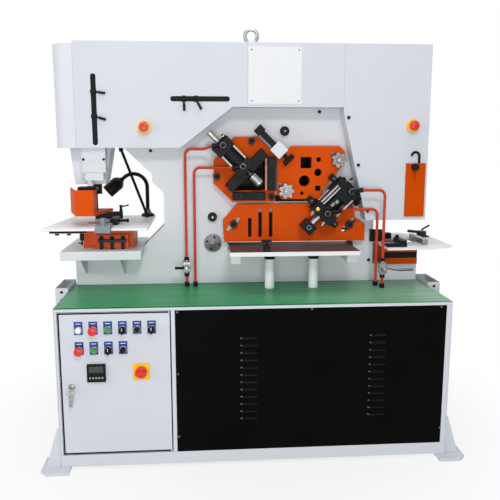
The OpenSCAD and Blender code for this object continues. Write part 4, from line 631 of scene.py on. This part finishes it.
PLATE_LEFT, PLATE_LOW, PLATE_W, PLATE_H, PLATE_PIN_IN = HOOD_LOW.x + 4, HOOD_LOW.z + 13, 229, 237, 13
PIN = [(0, 4), (1.2, 3.8), (1.8, 2.4)]
Piece().block(
    (PLATE_LEFT, HOOD - 1.6, PLATE_LOW), (PLATE_LEFT + PLATE_W, HOOD + 0.5, PLATE_LOW + PLATE_H)).done(
        "name_plate", "white", bevel=0.8)
pins = Piece()
for x in (PLATE_LEFT + PLATE_PIN_IN, PLATE_LEFT + PLATE_W - PLATE_PIN_IN):
    for z in (PLATE_LOW + PLATE_PIN_IN, PLATE_LOW + PLATE_H - PLATE_PIN_IN):
        pins.lathe(front(x, HOOD - 1.4, z), PIN, 16)
pins.done("name_plate_pins", "alloy")

STOP_R, SLOT_SIDE, LINER_FACE, LINER_BACK = 16, 17, HOOD + 8.4, HOOD + 10.4
PUNCH_SLOT_X, SHEAR_SLOT_Z = span("punch_stop_upper")[0].x + STOP_R, span("shear_stop_left")[1].z - STOP_R
PUNCH_SLOT_LOW, PUNCH_SLOT_L = span("left_cover")[0].z + 10, 300
SHEAR_SLOT_LEFT, SHEAR_SLOT_L = span("left_cover")[1].x - 331.7, 259
liners = Piece()
liners.block((PUNCH_SLOT_X - SLOT_SIDE, LINER_FACE, PUNCH_SLOT_LOW),
             (PUNCH_SLOT_X + SLOT_SIDE, LINER_BACK, PUNCH_SLOT_LOW + PUNCH_SLOT_L))
liners.block((SHEAR_SLOT_LEFT, LINER_FACE, SHEAR_SLOT_Z - SLOT_SIDE),
             (SHEAR_SLOT_LEFT + SHEAR_SLOT_L, LINER_BACK, SHEAR_SLOT_Z + SLOT_SIDE))
liners.done("slot_liners", "black", bevel=0.4)

STOP = [(0, 8), (7, 8), (7.2, 14), (9.6, 14), (9.8, 8), (20, 8), (21, 6.5)]
STOP_FOOT, STOP_NUT, LEVER_OUT = HOOD + 6.6, HOOD - 3, HOOD - 7.5
LEVER_L, LEVER_R, GRIP_FROM, GRIP_R = 50, 3.6, 20, 5.4
STOP_TILTS = {
    "punch_stop_upper": -8, "punch_stop_lower": -16, "shear_stop_left": -88, "shear_stop_right": -62}
for name, tilt in STOP_TILTS.items():
    x, z = span(name, 1)[0].x + STOP_R, span(name)[1].z - STOP_R
    hub = Vector((x, LEVER_OUT, z))
    way = Vector((math.cos(math.radians(tilt)), 0, math.sin(math.radians(tilt))))
    stop = Piece().lathe(front(x, STOP_FOOT, z), STOP, 28)
    stop.hexagon(front(x, STOP_NUT, z), 11.5, 0, 7.5)
    stop.rod(hub, hub + LEVER_L * way, LEVER_R, 14)
    stop.rod(hub + GRIP_FROM * way, hub + LEVER_L * way, GRIP_R, 18)
    stop.done(name + "_look", "black_steel", name, replaces=(name,))

ESTOP_DISC = [(0, 30.4), (9, 30.4), (12.3, 27.5)]
ESTOP_OUT, ESTOP_HEAD = 19.6, [(0, 14), (2, 19.6), (5, 20.5), (9, 20.4), (13, 17.5), (15.6, 11), (16.4, 4)]
for name in ("estop_left", "estop_right"):
    x, z = middle(name).x, middle(name).z
    Piece().lathe(front(x, HOOD + 0.1, z), ESTOP_DISC, 40).done(name + "_disc", "yellow")
    Piece().lathe(front(x, HOOD - ESTOP_OUT, z), ESTOP_HEAD, 36).done(name + "_head", "red", name)

# Punch table's bracket

BRACKET_LOW = PUNCH_LOW + Vector((35, 13, 6.5))
BRACKET_HIGH = BRACKET_LOW + Vector((152, 16, 12.3))
BRACKET_FEET, FOOT_SIDE, FOOT_IN, FOOT_DROP = (31, 81), 8, 3, 9
CLAMP_SCREW = [(-53, 3), (-52, 4), (-32, 4), (-31, 9), (-6, 9.5), (1, 7)]
CLAMP_PIN_DROP, CLAMP_PIN, CLAMP_PIN_R = 44.4, Vector((-16, -5, 3)), 2.5
bracket = Piece().block(BRACKET_LOW, BRACKET_HIGH)
for across in BRACKET_FEET:
    x = BRACKET_LOW.x + across
    bracket.block((x - FOOT_SIDE, BRACKET_LOW.y + FOOT_IN, BRACKET_LOW.z - FOOT_DROP),
                  (x + FOOT_SIDE, BRACKET_HIGH.y - FOOT_IN, BRACKET_LOW.z + 1))
screw = Vector((BRACKET_HIGH.x - 17, BRACKET_LOW.y + 8, BRACKET_LOW.z))
bracket.lathe(at(*screw), CLAMP_SCREW, 24)
pin = screw - Vector((0, 0, CLAMP_PIN_DROP))
bracket.rod(pin, pin + CLAMP_PIN, CLAMP_PIN_R, 12)
bracket.done("table_bracket", "black", bevel=1)

# Die clamps, fence clamp and punch guide

LEG_MID, LEG_PITCH, LEG_SIDE, LEG_H = PUNCH_X + 88, 46.7, 7, 31
LEG_FRONT, LEG_BACK = DIE_LOW.y - 0.4, DIE_LOW.y + 15.9
LEG_NUT_R, LEG_NUT_Y, LEG_NUT_FOOT, LEG_NUT_H = 10, DIE_LOW.y + 8, 42, 14
legs = Piece()
for i in (-1, 0, 1):
    x = LEG_MID + LEG_PITCH * i
    legs.block((x - LEG_SIDE, LEG_FRONT, DIE_LOW.z), (x + LEG_SIDE, LEG_BACK, DIE_LOW.z + LEG_H))
    legs.hexagon(at(x, LEG_NUT_Y, DIE_LOW.z + LEG_NUT_FOOT), LEG_NUT_R, 0, LEG_NUT_H)
legs.done("die_clamps", "black", bevel=1)

POST = [(0, 8), (10, 8), (11, 6.5), (20, 6.5), (24, 8.5), (29, 8), (31, 5)]
HANDLE, HANDLE_R = [(0, 0, 24), (16, 0, 25), (38, -2, 31)], [4, 3.4, 3.6]
CARRIAGE_LEFT, CARRIAGE_RIGHT, CARRIAGE_FRONT, CARRIAGE_L, CARRIAGE_H = 23, 7, FENCE_LOW.y + 140, 106, 30
SPINDLE_L, SPINDLE_R, SPINDLE_KNOB_AT = 46, 6, 38
SPINDLE_KNOB = [(0, 8), (1, 9), (8, 9), (9, 8)]
post = Vector((FENCE_HIGH.x - 8, FENCE_HIGH.y - 11, FENCE_LOW.z + 50))
lever = Piece().lathe(at(*post), POST, 24).tube([post + Vector(p) for p in HANDLE], HANDLE_R, 14)
lever.block(
    (FENCE_HIGH.x - CARRIAGE_LEFT, CARRIAGE_FRONT, PUNCH_TABLE + 0.8),
    (FENCE_HIGH.x + CARRIAGE_RIGHT, CARRIAGE_FRONT + CARRIAGE_L, PUNCH_TABLE + CARRIAGE_H))
spindle = Vector((FENCE_HIGH.x + 6, FENCE_LOW.y + 185, PUNCH_TABLE + 16))
lever.rod(spindle, spindle + Vector((SPINDLE_L, 0, 0)), SPINDLE_R)
lever.lathe(at(spindle.x + SPINDLE_KNOB_AT, spindle.y, spindle.z, 90), SPINDLE_KNOB, 24)
lever.done("fence_clamp", "black_steel", "punch_fence", 1.5)

GUIDE_FACE, NOSE_FACE, GUIDE_Y = STRIPPER_LOW.y + 20, STRIPPER_LOW.y + 80, STRIPPER_LOW.y + 50
GUIDE_BOTTOM, BAR_TOP = STRIPPER_LOW.z + 188, STRIPPER_LOW.z + 128
SLEEVE = [(0, 11.5), (0.8, 12.3), (58, 12.3), (58.8, 11.5)]
NOSE_SCREW = [(0, 5.5), (3, 5.5), (4, 4)]
nose = Piece()
for across, y, up in ((-22, GUIDE_FACE, 56), (64, GUIDE_FACE, 56), (60, NOSE_FACE, 21)):
    nose.lathe(front(PUNCH_X + across, y, GUIDE_BOTTOM + up), NOSE_SCREW, 20)
nose.done("nose_screws", "black")
Piece().lathe(at(PUNCH_X, GUIDE_Y, BAR_TOP), SLEEVE, 32).done("guide_sleeve", "pale", "stripper_guard")
guide = Piece().block(
    (PUNCH_X - 18, GUIDE_FACE + 2, GUIDE_BOTTOM - 35),
    (PUNCH_X + 60, GUIDE_FACE + 15, GUIDE_BOTTOM - 0.2))
guide.done("guide_plate", "shade_paint", bevel=1.5)

# Bolts, nuts and pivot of the shear plates

BOLT_FACE, RIM_IN, RIM_T, SOCKET_R = PLATE_FACE - 14.6, 3.2, 2.2, 7.5
PLATE_BOLTS = [
    (ANGLE_LOW, 172, 269, 16), (ANGLE_LOW, 18, 114, 16), (ANGLE_LOW, 261, 22, 16), (FLAT_LOW, 48, 81, 18),
    (FLAT_LOW, 575, 75, 18)]
# The bolt heads' rims are lighter than the black bolts: a painted highlight.
rims, sockets = Piece(), Piece()
for corner, across, up, r in PLATE_BOLTS:
    x, z = corner.x + across, corner.z + up
    rims.ring(front(x, BOLT_FACE, z), r - RIM_IN, RIM_T, 36)
    sockets.hexagon(front(x, BOLT_FACE + 0.2, z), SOCKET_R, 0, 0.9)
rims.done("bolt_rims", "rim_highlight_black")
sockets.done("bolt_sockets", "rubber_and_painted_shade")

STUD = [(0, 4.5), (5, 4.5), (6.5, 3.4)]
STUD_FACE, WASHER_FACE, WASHER_R, WASHER_T = PLATE_FACE + 15, FRAME_FACE - 3.7, 24.2, 3.6
FRAME_NUTS = [(ANGLE_HIGH.x + 43, ANGLE_HIGH.z + 25), (ANGLE_LOW.x - 3, ANGLE_LOW.z - 70)]
studs, washers = Piece(), Piece()
for x, z in FRAME_NUTS:
    studs.lathe(front(x, STUD_FACE, z), STUD, 24)
    washers.ring(front(x, WASHER_FACE, z), WASHER_R, WASHER_T, 40)
studs.done("nut_studs", "chrome")
washers.done("nut_washers", "white")

PIVOT_CAP = [(-0.5, 40.3), (0.2, 40.3), (0.7, 39), (0.7, 12), (1.2, 11)]
PIVOT_SCREW, PIVOT_SCREW_REACH, PIVOT_SCREW_TURN = [(0, 5.5), (1.2, 5.5), (1.6, 4.4)], 27, 75
screws = Piece()
for i in range(4):
    a = math.radians(PIVOT_SCREW_TURN + 90 * i)
    x, z = PIVOT.x + PIVOT_SCREW_REACH * math.cos(a), PIVOT.z + PIVOT_SCREW_REACH * math.sin(a)
    screws.lathe(front(x, PIVOT.y + 0.1, z), PIVOT_SCREW, 18)
screws.done("pivot_screws", "rubber_and_painted_shade")
Piece().lathe(front(*PIVOT), PIVOT_CAP, 48).done("pivot_cap", "turned")

# Rests, slots and knobs of the shear plates

REST_FACE = span("blade_holders")[0].y
REST_SCREWS = [(114, 27), (204, 27), (260.5, 81), (260.5, 169)]
# The rest screws' rims are lighter in the same way: a painted highlight.
rests, wells = Piece(), Piece()
for across, up in REST_SCREWS:
    x, z = ANGLE_LOW.x + across, ANGLE_LOW.z + up
    rests.ring(front(x, REST_FACE, z), 8, 1.6, 32)
    wells.hexagon(front(x, REST_FACE - 0.2, z), 6, 0, 0.6)
rests.done("rest_screws", "rim_highlight_black")
wells.done("rest_sockets", "rubber_and_painted_shade")

VEE_EDGE, VEE_EDGE_W, VEE_LOW, VEE_HIGH = ANGLE_LOW.x + 238, 2.6, ANGLE_LOW.z + 52, ANGLE_LOW.z + 195
edge = Piece().block(
    (VEE_EDGE - VEE_EDGE_W, PLATE_FACE - 0.8, VEE_LOW), (VEE_EDGE, PLATE_FACE + 0.4, VEE_HIGH))
edge.done("vee_edges", "steel", bevel=0.3)


def backing(piece, across, up, width, height, front_gap, back_gap):
    """A plate behind the hold-down plate, measured from its lower left corner."""
    x, z = FLAT_LOW.x + across, FLAT_LOW.z + up
    return piece.block((x, PLATE_BACK + front_gap, z), (x + width, FRAME_FACE - back_gap, z + height))


backing(Piece(), 11, 42, 78, 80, 0.6, 0.1).done("slot_backing", "pale", bevel=1)
# Black sheets behind the plate's slots and along its gap to the section plate: painted shade seen through
# them.
shade_sheets = backing(Piece(), 98, 6, 140, 124, 0.8, GAP)
backing(shade_sheets, 239, 180, 214, 28, 0.8, GAP).done("painted_plate_shade", "rubber_and_painted_shade", bevel=1)

HUB = [(0, 16), (5, 14.5), (7, 13), (7, 9), (9.5, 8.6), (10.3, 6.5)]
for name in ("star_knob_low", "star_knob_high"):
    spot = middle(name)
    Piece().lathe(front(spot.x, span(name)[0].y + 0.1, spot.z), HUB, 30).done(name + "_hub", "steel", name)

REST_SHIFT, REST_LOW, REST_HIGH, REST_X, REST_Y = 21, 104, 136, 20, 19
GRIP_IN, GRIP_L, REST_GRIP_R = 1.8, 40, 10.5
bar_low, bar_high = span("angle_rest_bar", 1)
bar = middle("angle_rest_bar") + REST_SHIFT * Vector((R2, 0, -R2))
rest_head = Piece().block((-REST_X, -REST_Y, REST_LOW), (REST_X, REST_Y, REST_HIGH), at(*bar, -45))
rest_head.done("rest_bar_head", "black_steel", "angle_rest_bar", 2.5)
knee = Vector((bar_high.x - GRIP_IN, bar.y, bar_low.z + GRIP_IN))
rest_grip = Piece().rod(knee - Vector((GRIP_L, 0, 0)), knee + Vector((0, 0, GRIP_L)), REST_GRIP_R)
rest_grip.done("rest_bar_grip", "black", "angle_rest_bar", 1)

REAR_T, REAR_LIP, REAR_LIP_H, REAR_SCREW_IN = 2.3, 14, 14, 12
REAR_SCREW = [(0, 7), (4, 7), (5, 5)]
REAR_OPENINGS = [
    (ANGLE_LOW.x + 46, ANGLE_LOW.z + 15, ANGLE_HIGH.x - 25, ANGLE_HIGH.z - 42),
    (SECTION_LOW.x + 11, SECTION_LOW.z + 4, SECTION_HIGH.x - 25, SECTION_HIGH.z + 3)]
rear = FRAME_BACK + GAP
guards = Piece()
for left, low, right, high in REAR_OPENINGS:
    guards.block((left, rear, low), (right, rear + REAR_T, high))
    guards.block((left, rear + 1.7, high - REAR_LIP_H), (right, rear + REAR_LIP - 0.3, high))
    for x in (left + REAR_SCREW_IN, right - REAR_SCREW_IN):
        for z in (low + REAR_SCREW_IN, high - REAR_LIP_H - REAR_SCREW_IN):
            guards.lathe(at(x, rear + 2.1, z, -90, "X"), REAR_SCREW, 20)
guards.done("rear_guards", "black", bevel=0.8)

# Clamp cylinders, with Z up along the rod

ANGLE, FLAT = at(*ANGLE_CLAMP, -45), at(*FLAT_CLAMP, 45)
TIE_R, TIE_NUT = 6.2, 9.5
ANGLE_TOP, FLAT_TOP = 84, 95
TIES = [(ANGLE, 34, 30, -40, 34, ANGLE_TOP), (FLAT, 46, 34, -45, 23, FLAT_TOP)]
LONG_TIES, LONG_TIE_Y, LONG_END = (-47, -34, 46), -46.5, 57
LONG_TIE = [(-45, 4.6), (-44, 5.2), (LONG_END, 5.2)]
ANGLE_CAP = [(ANGLE_TOP - 0.5, 26), (90, 26), (92, 23)]
FLAT_CAP = [(FLAT_TOP - 0.5, 20), (104, 20), (106, 17)]
TAIL_SCREW = [(91.5, 11.8), (92.2, 12.5), (146, 12.5), (146.8, 11.4)]
FOOT_BOLT_X, FOOT_BOLT_Y, FOOT_BOLT = 34, -22, [(-116, 5), (-110, 5.6)]
EAR_X, EAR_Z, EAR_BOLT = 73, 69, [(0, 9.5), (6, 9.5), (7, 8)]
SIDE_PORT, PORT_PROFILE = (55.5, -16, 78), [(0, 12), (5, 12), (6, 17.5), (18, 17.5), (20, 15)]
ties, nuts, rims, brass = Piece(), Piece(), Piece(), Piece()
for place, x, y, low, high, end in TIES:
    for sx in (-1, 1):
        for sy in (-1, 1):
            spot = shifted(place, sx * x, sy * y)
            ties.lathe(spot, [(low - 1, TIE_R), (high + 1, TIE_R)], 20)
            nuts.hexagon(spot, TIE_NUT, end - 0.5, end + 7)
for x in LONG_TIES:
    spot = shifted(FLAT, x, LONG_TIE_Y)
    ties.lathe(spot, LONG_TIE, 20)
    nuts.hexagon(spot, 8.5, LONG_END, LONG_END + 9)
nuts.lathe(ANGLE, ANGLE_CAP).lathe(FLAT, FLAT_CAP)
ties.lathe(ANGLE, TAIL_SCREW, 28)
for x in (-FOOT_BOLT_X, FOOT_BOLT_X):
    spot = shifted(FLAT, x, FOOT_BOLT_Y)
    ties.hexagon(spot, 11, -110, -94.5).lathe(spot, FOOT_BOLT, 18)
for x in (-EAR_X, EAR_X):
    for z in (-EAR_Z, EAR_Z):
        nuts.lathe(FLAT @ front(x, 0, z), EAR_BOLT, 24)
        rims.ring(FLAT @ front(x, -7, z), 5.2, 1, 24)
nuts.lathe(FLAT @ at(*SIDE_PORT, 90), PORT_PROFILE)

# Oil pipes: clamp and port, the riser's place, the run's height and end, and the bend to the port

PIPE_R, PIPE_BEND = 6.2, 26
PIPES = [
    (ANGLE, (3, -40, 67), (PUNCH_X + 413, -40), 1285, -203,
     [(-206, -40, 1285), (-190, -54, 1290), (-176, -80, 1296), (-160, -99, 1300)]),
    (ANGLE, (0, -40, -57), (PUNCH_X + 451, -40), 1204, -121,
     [(-124, -40, 1204), (-108, -60, 1204), (-95, -86, 1205), (-74, -99, 1206)]),
    (FLAT, (12, -44, 80), (PUNCH_X + 1279, -134), 1109, 495,
     [(497, -134, 1109), (484, -134, 1109), (474, -131, 1109)]),
    (FLAT, (6, -44, -62), (PUNCH_X + 1261, -90), 1021, 433,
     [(436, -90, 1021), (420, -98, 1021), (404, -112, 1020), (386, -117, 1018)]),
]
BANJO = [(-1, 14), (16, 14), (17, 12), (17, 9.5), (22, 9), (23, 7.5)]
BANJO_EYE, BANJO_RIM = 10, 17.2
runs, fittings = Piece(), Piece()
for place, port, (x, y), height, end, route in PIPES:
    side = 1 if end > x else -1
    corner = arc((x + side * PIPE_BEND, height - PIPE_BEND), PIPE_BEND, 90 + 90 * side, 90, 10, y)
    runs.tube([(x, y, BENCH + GAP)] + corner + [(end, y, height)], PIPE_R)
    runs.tube(along(route, 6), PIPE_R)
    fittings.hexagon(at(x, y, BENCH + GAP), 11.5, 0, 20)
    mouth = shifted(place, *port).translation
    eye = mouth + Vector((0, -BANJO_EYE, 0))
    fittings.hexagon(toward(route[-1], eye), 10.5, -10, 6).rod(route[-1], eye, 8.5)
    fittings.lathe(front(*mouth), BANJO, 28)
    rims.ring(front(mouth.x, mouth.y - BANJO_RIM, mouth.z), 11.2, 1.3, 32)
runs.done("pipe_runs", "red_pipe", replaces=("oil_pipes",))

BLEED_ANGLE, BLEED_FLAT = ANGLE @ at(32, -18, ANGLE_TOP - 0.5), FLAT @ at(-20, -18, FLAT_TOP - 0.5)
fittings.lathe(BLEED_ANGLE, [(0, 9), (5, 9), (6, 6.5), (17, 6), (18, 4)], 20)
fittings.lathe(BLEED_FLAT, [(0, 8), (8, 8), (9, 5.5), (30, 5), (33, 3)], 20)
brass.lathe(BLEED_ANGLE, [(7, 7.4), (12, 7.4)], 6)
brass.lathe(BLEED_FLAT, [(10, 8), (17, 8)], 6)
brass.lathe(FLAT @ front(-36, -44, -78), [(0, 10), (6, 10), (7, 7.5), (13, 7.5), (14.5, 5.5)], 6)
Piece().block((-8, -41, -26), (4, -38.4, -8), FLAT).block((-4, -41, -4), (9, -38.4, 12), FLAT).done(
    "barrel_labels", "gallery", bevel=0.6)
ties.done("clamp_ties", "chrome")
nuts.done("clamp_nuts", "black")
rims.done("port_rims", "steel")
brass.done("clamp_ports", "brass")

NOSE_R, BAND_R, THREAD_R = 21.6, 22.15, 22.12
NOSE_BAND = [(-117, NOSE_R), (-116.6, BAND_R), (-108, BAND_R), (-107.6, NOSE_R)]
THREAD = [(-1.2, NOSE_R), (-0.9, THREAD_R), (0.9, THREAD_R), (1.2, NOSE_R)]
THREADS, THREAD_FIRST, THREAD_PITCH = 4, -126, 8
bands = Piece().lathe(ANGLE, NOSE_BAND, 36)
for i in range(THREADS):
    bands.lathe(shifted(ANGLE, z=THREAD_FIRST - THREAD_PITCH * i), THREAD, 36)
bands.done("nose_bands", "black_steel", "angle_clamp_rod")
SHOE_SCREW = FLAT @ front(0, -23.2, -161)
Piece().ring(SHOE_SCREW, 9, 1.8, 32).done("shoe_screw", "steel", "flat_hold_down")

# Valves

VALVE_Z = middle("valve_lever_left").z
VALVE_X, VALVE_Y, VALVE_H = 17, 14, 22
COLLAR_R, COLLAR_H, UNION_R, UNION_H = 13, 8, 11, 15
STEM = [(0, 13), (5, 13), (6, 9), (17.6, 9)]
VALVE_PIPES = {"valve_lever_left": PIPES[0], "valve_lever_right": PIPES[2]}
valves = Piece()
for name, pipe in VALVE_PIPES.items():
    x, y = pipe[2]
    centre = at(x, y, VALVE_Z)
    valves.block((-VALVE_X, -VALVE_Y, -VALVE_H), (VALVE_X, VALVE_Y, VALVE_H), centre)
    for low in (VALVE_H, -VALVE_H - COLLAR_H):
        valves.lathe(centre, [(low, COLLAR_R), (low + COLLAR_H, COLLAR_R)], 28)
    for low in (VALVE_H + 7, -VALVE_H - 7 - UNION_H):
        high = low + UNION_H
        fittings.lathe(centre, [(low, 9), (low + 2, UNION_R), (high - 2, UNION_R), (high, 9)], 28)
    valves.lathe(front(x, y - 13, VALVE_Z), STEM, 28)
    nut = front(x, middle(name).y - 3, VALVE_Z)
    Piece().hexagon(nut, 8, -1, 4).ring(shifted(nut, z=0.2), 10, 1.6, 28).done(name + "_nut", "chrome", name)
valves.done("valve_bodies", "steel", bevel=2)
fittings.done("pipe_fittings", "black")

LEVER_BAR, LEVER_BAR_R = [(0, 0), (21, 3), (39, -3), (61, -3)], 3.4
LEVER_GRIP = [(0, 4.5), (2, 6), (30, 6.4), (40, 5), (44, 6), (68, 5.6), (71, 4)]
GRIP_AT = 57
lever_x, lever_y = PIPES[2][2][0], middle("valve_lever_right").y
grip = Piece().tube([(lever_x + across, lever_y, VALVE_Z + up) for across, up in LEVER_BAR], LEVER_BAR_R)
grip.lathe(at(lever_x + GRIP_AT, lever_y, VALVE_Z - 3, 90), LEVER_GRIP, 22)
grip.done("valve_grip", "turned", "valve_lever_right", replaces=("valve_lever_right",))

# Feed table and posts

PADS, PAD_PITCH, PAD_W, PAD_FRONT, PAD_IN = 5, 40, 34, 28, 3
EDGE_FRONT, EDGE_BACK, EDGE_IN = 6, 24, 1
pad_low, pad_high = FEED_HIGH.z - 0.4, FEED_HIGH.z + 0.25
pads = Piece()
for i in range(PADS):
    y = FEED_LOW.y + PAD_FRONT + PAD_PITCH * i
    pads.block((FEED_LOW.x + PAD_IN, y, pad_low), (FEED_HIGH.x - PAD_IN, y + PAD_W, pad_high))
pads.done("feed_pads", "strip", bevel=0.1)
Piece().block(
    (FEED_LOW.x + EDGE_IN, FEED_LOW.y + EDGE_FRONT, pad_low),
    (FEED_HIGH.x - EDGE_IN, FEED_LOW.y + EDGE_BACK, pad_high)).done("feed_edge", "maroon", bevel=0.1)
TEE_RISE, TEE_R, TEE_LEFT, TEE_RIGHT, TEE_BAR_R = 18, 6, 24, 20, 5
tee_foot = middle("feed_stop")
tee_foot.z = span("feed_stop")[1].z
tee_top = tee_foot + Vector((0, 0, TEE_RISE))
lap = Vector((0, 0, 1))
tee = Piece().rod(tee_foot - lap, tee_top - lap, TEE_R)
tee.rod(tee_top - Vector((TEE_LEFT, 0, 0)), tee_top + Vector((TEE_RIGHT, 0, 0)), TEE_BAR_R)
tee.done("feed_stop_tee", "black", "feed_stop")
POST_R = 21
POST_CAP = [(0, POST_R + 0.2), (1, POST_R + 2), (36, POST_R + 2), (39, POST_R - 1)]
post_low, post_high = span("support_posts")
caps = Piece()
for x in (post_low.x + POST_R, post_high.x - POST_R):
    caps.lathe(at(x, middle("support_posts").y, post_high.z - 39.7), POST_CAP, 36)
caps.done("post_caps", "rubber_and_painted_shade")

# Notch station, measured from the table's lower left corner

NOTCH_TOP = NOTCH_LOW.z + NOTCH_PLATE


def on_notch(piece, across, back, width, depth, height):
    """A bar lying on the notch table."""
    x, y = NOTCH_LOW.x + across, NOTCH_LOW.y + back
    return piece.block((x, y, NOTCH_TOP), (x + width, y + depth, NOTCH_TOP + height))


BED_LOW, BED_HIGH = span("notch_bed")
NOTCH_BARS = [
    (6, 34, 92, 18, 17), (74, 52, 28, 114, 26), (6, 74, 68, 12, 9), (4, 290, 98, 40, 26),
    (234, 320, 68, 32, 6)]
HOLDER_LEFT, HOLDER_W, HOLDER_LOW, HOLDER_H, HOLDER_T = 46, 56, 19.7, 55, 17.8
LEVER_POST = Vector((NOTCH_LOW.x + 268, NOTCH_LOW.y + 336, NOTCH_TOP))
LEVER_ROUTE, LEVER_RADII = [(0, 0, 34), (14, -1, 44), (38, -4, 58)], [5, 4, 4.4]
BAR_LOW, BAR_H, BAR_OUT = 29.3, 27, 23.8
tools = Piece()
for bar in NOTCH_BARS:
    on_notch(tools, *bar)
screw = Vector((NOTCH_LOW.x + 88, NOTCH_LOW.y + 155, NOTCH_TOP))
tools.rod(screw + Vector((0, 0, 25)), screw + Vector((0, 0, 38)), 9)
holder = Vector((NOTCH_LOW.x - HOLDER_LEFT, FRAME_FACE + 0.1, NOTCH_LOW.z + HOLDER_LOW))
tools.block(holder - Vector((0, HOLDER_T, 0)), holder + Vector((HOLDER_W, 0, HOLDER_H)))
tools.tube([LEVER_POST + Vector(p) for p in LEVER_ROUTE], LEVER_RADII, 14)
tools.block(
    (BED_LOW.x + 1, BED_LOW.y + 1, BED_LOW.z + BAR_LOW),
    (BED_HIGH.x - 1, BED_LOW.y + BAR_OUT, BED_LOW.z + BAR_LOW + BAR_H))
tools.done("notch_tools", "black", bevel=1.5)
blades = Piece()
for back, depth in ((94, 14), (122, 12)):
    on_notch(blades, 8, back, 64, depth, 6)
blades.done("notch_blades", "steel", bevel=0.6)
GUARD_KNOB = Vector((GUARD_LOW.x + 37, HOOD, GUARD_LOW.z + 220))
GUARD_SIDE, GUARD_SLOT_L = 8, 78
Piece().block(
    GUARD_KNOB + Vector((-GUARD_SIDE, -0.24, GUARD_SIDE - GUARD_SLOT_L)),
    GUARD_KNOB + Vector((GUARD_SIDE, -0.02, GUARD_SIDE))).done("guard_backing", "orange")


# Studio

def direct_view(node, wire):
    """One for rays that show the backdrop: seen, mirrored or through glass."""
    path = node("LightPath")
    total = path.outputs["Is Camera Ray"]
    for kind in ("Is Glossy Ray", "Is Transmission Ray"):
        either = node("Math", operation="MAXIMUM")
        wire(total, either.inputs[0])
        wire(path.outputs[kind], either.inputs[1])
        total = either.outputs["Value"]
    return total


def floor_look():
    """A white floor that fades into the backdrop and keeps its shadow."""
    made = bpy.data.materials.new("floor")
    made.use_nodes = True
    tree = made.node_tree
    node, wire = tools_of(tree)
    shader = tree.nodes["Principled BSDF"]
    fill(shader, Base_Color=(0.7, 0.7, 0.7, 1), Roughness=0.9, Specular_IOR_Level=0)
    where = node("TexCoord")
    away = node("VectorMath", operation="LENGTH")
    wire(where.outputs["Object"], away.inputs[0])
    fade = node("MapRange", interpolation_type="SMOOTHSTEP", From_Min=0.4, From_Max=1.6, To_Min=0.75)
    wire(away.outputs["Value"], fade.inputs["Value"])
    seen = node("Math", operation="MULTIPLY")
    wire(fade.outputs["Result"], seen.inputs[0])
    wire(direct_view(node, wire), seen.inputs[1])
    plain = node("Emission", Color=WHITE)
    mix = node("MixShader")
    wire(seen.outputs["Value"], mix.inputs[0])
    wire(shader.outputs["BSDF"], mix.inputs[1])
    wire(plain.outputs["Emission"], mix.inputs[2])
    wire(mix.outputs["Shader"], tree.nodes["Material Output"].inputs["Surface"])
    return made


WHITE = (1, 1, 1, 1)
bm = bmesh.new()
bmesh.ops.create_grid(bm, x_segments=8, y_segments=8, size=7)
mesh = bpy.data.meshes.new("floor")
bm.to_mesh(mesh)
bm.free()
floor = bpy.data.objects.new("floor", mesh)
bpy.context.scene.collection.objects.link(floor)
mesh.materials.append(floor_look())

scene = bpy.context.scene
scene.view_settings.view_transform = "Standard"
world = bpy.data.worlds.new("studio")
scene.world = world
world.use_nodes = True
node, wire = tools_of(world.node_tree)
back = fill(world.node_tree.nodes["Background"], Color=(0.96, 0.98, 1, 1), Strength=0.38)
seen = node("Background", Color=WHITE, Strength=1)
mix = node("MixShader")
wire(direct_view(node, wire), mix.inputs[0])
wire(back.outputs["Background"], mix.inputs[1])
wire(seen.outputs["Background"], mix.inputs[2])
wire(mix.outputs["Shader"], world.node_tree.nodes["World Output"].inputs["Surface"])


def lamp_at(name, place, target, size, power):
    data = bpy.data.lights.new(name, "AREA")
    data.shape = "RECTANGLE"
    data.size, data.size_y = size
    data.energy = power
    obj = bpy.data.objects.new(name, data)
    obj.location = place
    obj.rotation_euler = (Vector(target) - Vector(place)).to_track_quat("-Z", "Y").to_euler()
    scene.collection.objects.link(obj)


lamp_at("key", (0.3, -3.9, 3.8), (0, 0, 1), (0.9, 0.7), 58)
lamp_at("low", (-0.5, -5, 0.7), (0, 0, 0.9), (2.4, 1), 68)
lamp_at("left", (-4, -1.5, 1.8), (0, 0, 1), (2, 2), 40)
lamp_at("top", (0, -0.4, 4.4), (0, 0, 1), (3, 2), 62)

CAMERA_DOWN, CAMERA_RIGHT = 9.69, 4.3
camera = bpy.data.objects.new("camera", bpy.data.cameras.new("camera"))
camera.location = (-0.213, -2.835, 1.315)
camera.rotation_euler = (math.radians(90 - CAMERA_DOWN), 0, math.radians(-CAMERA_RIGHT))
camera.data.sensor_fit = "HORIZONTAL"
camera.data.sensor_width = 36
camera.data.lens = 45.53
camera.data.dof.use_dof = False
scene.collection.objects.link(camera)
scene.camera = camera
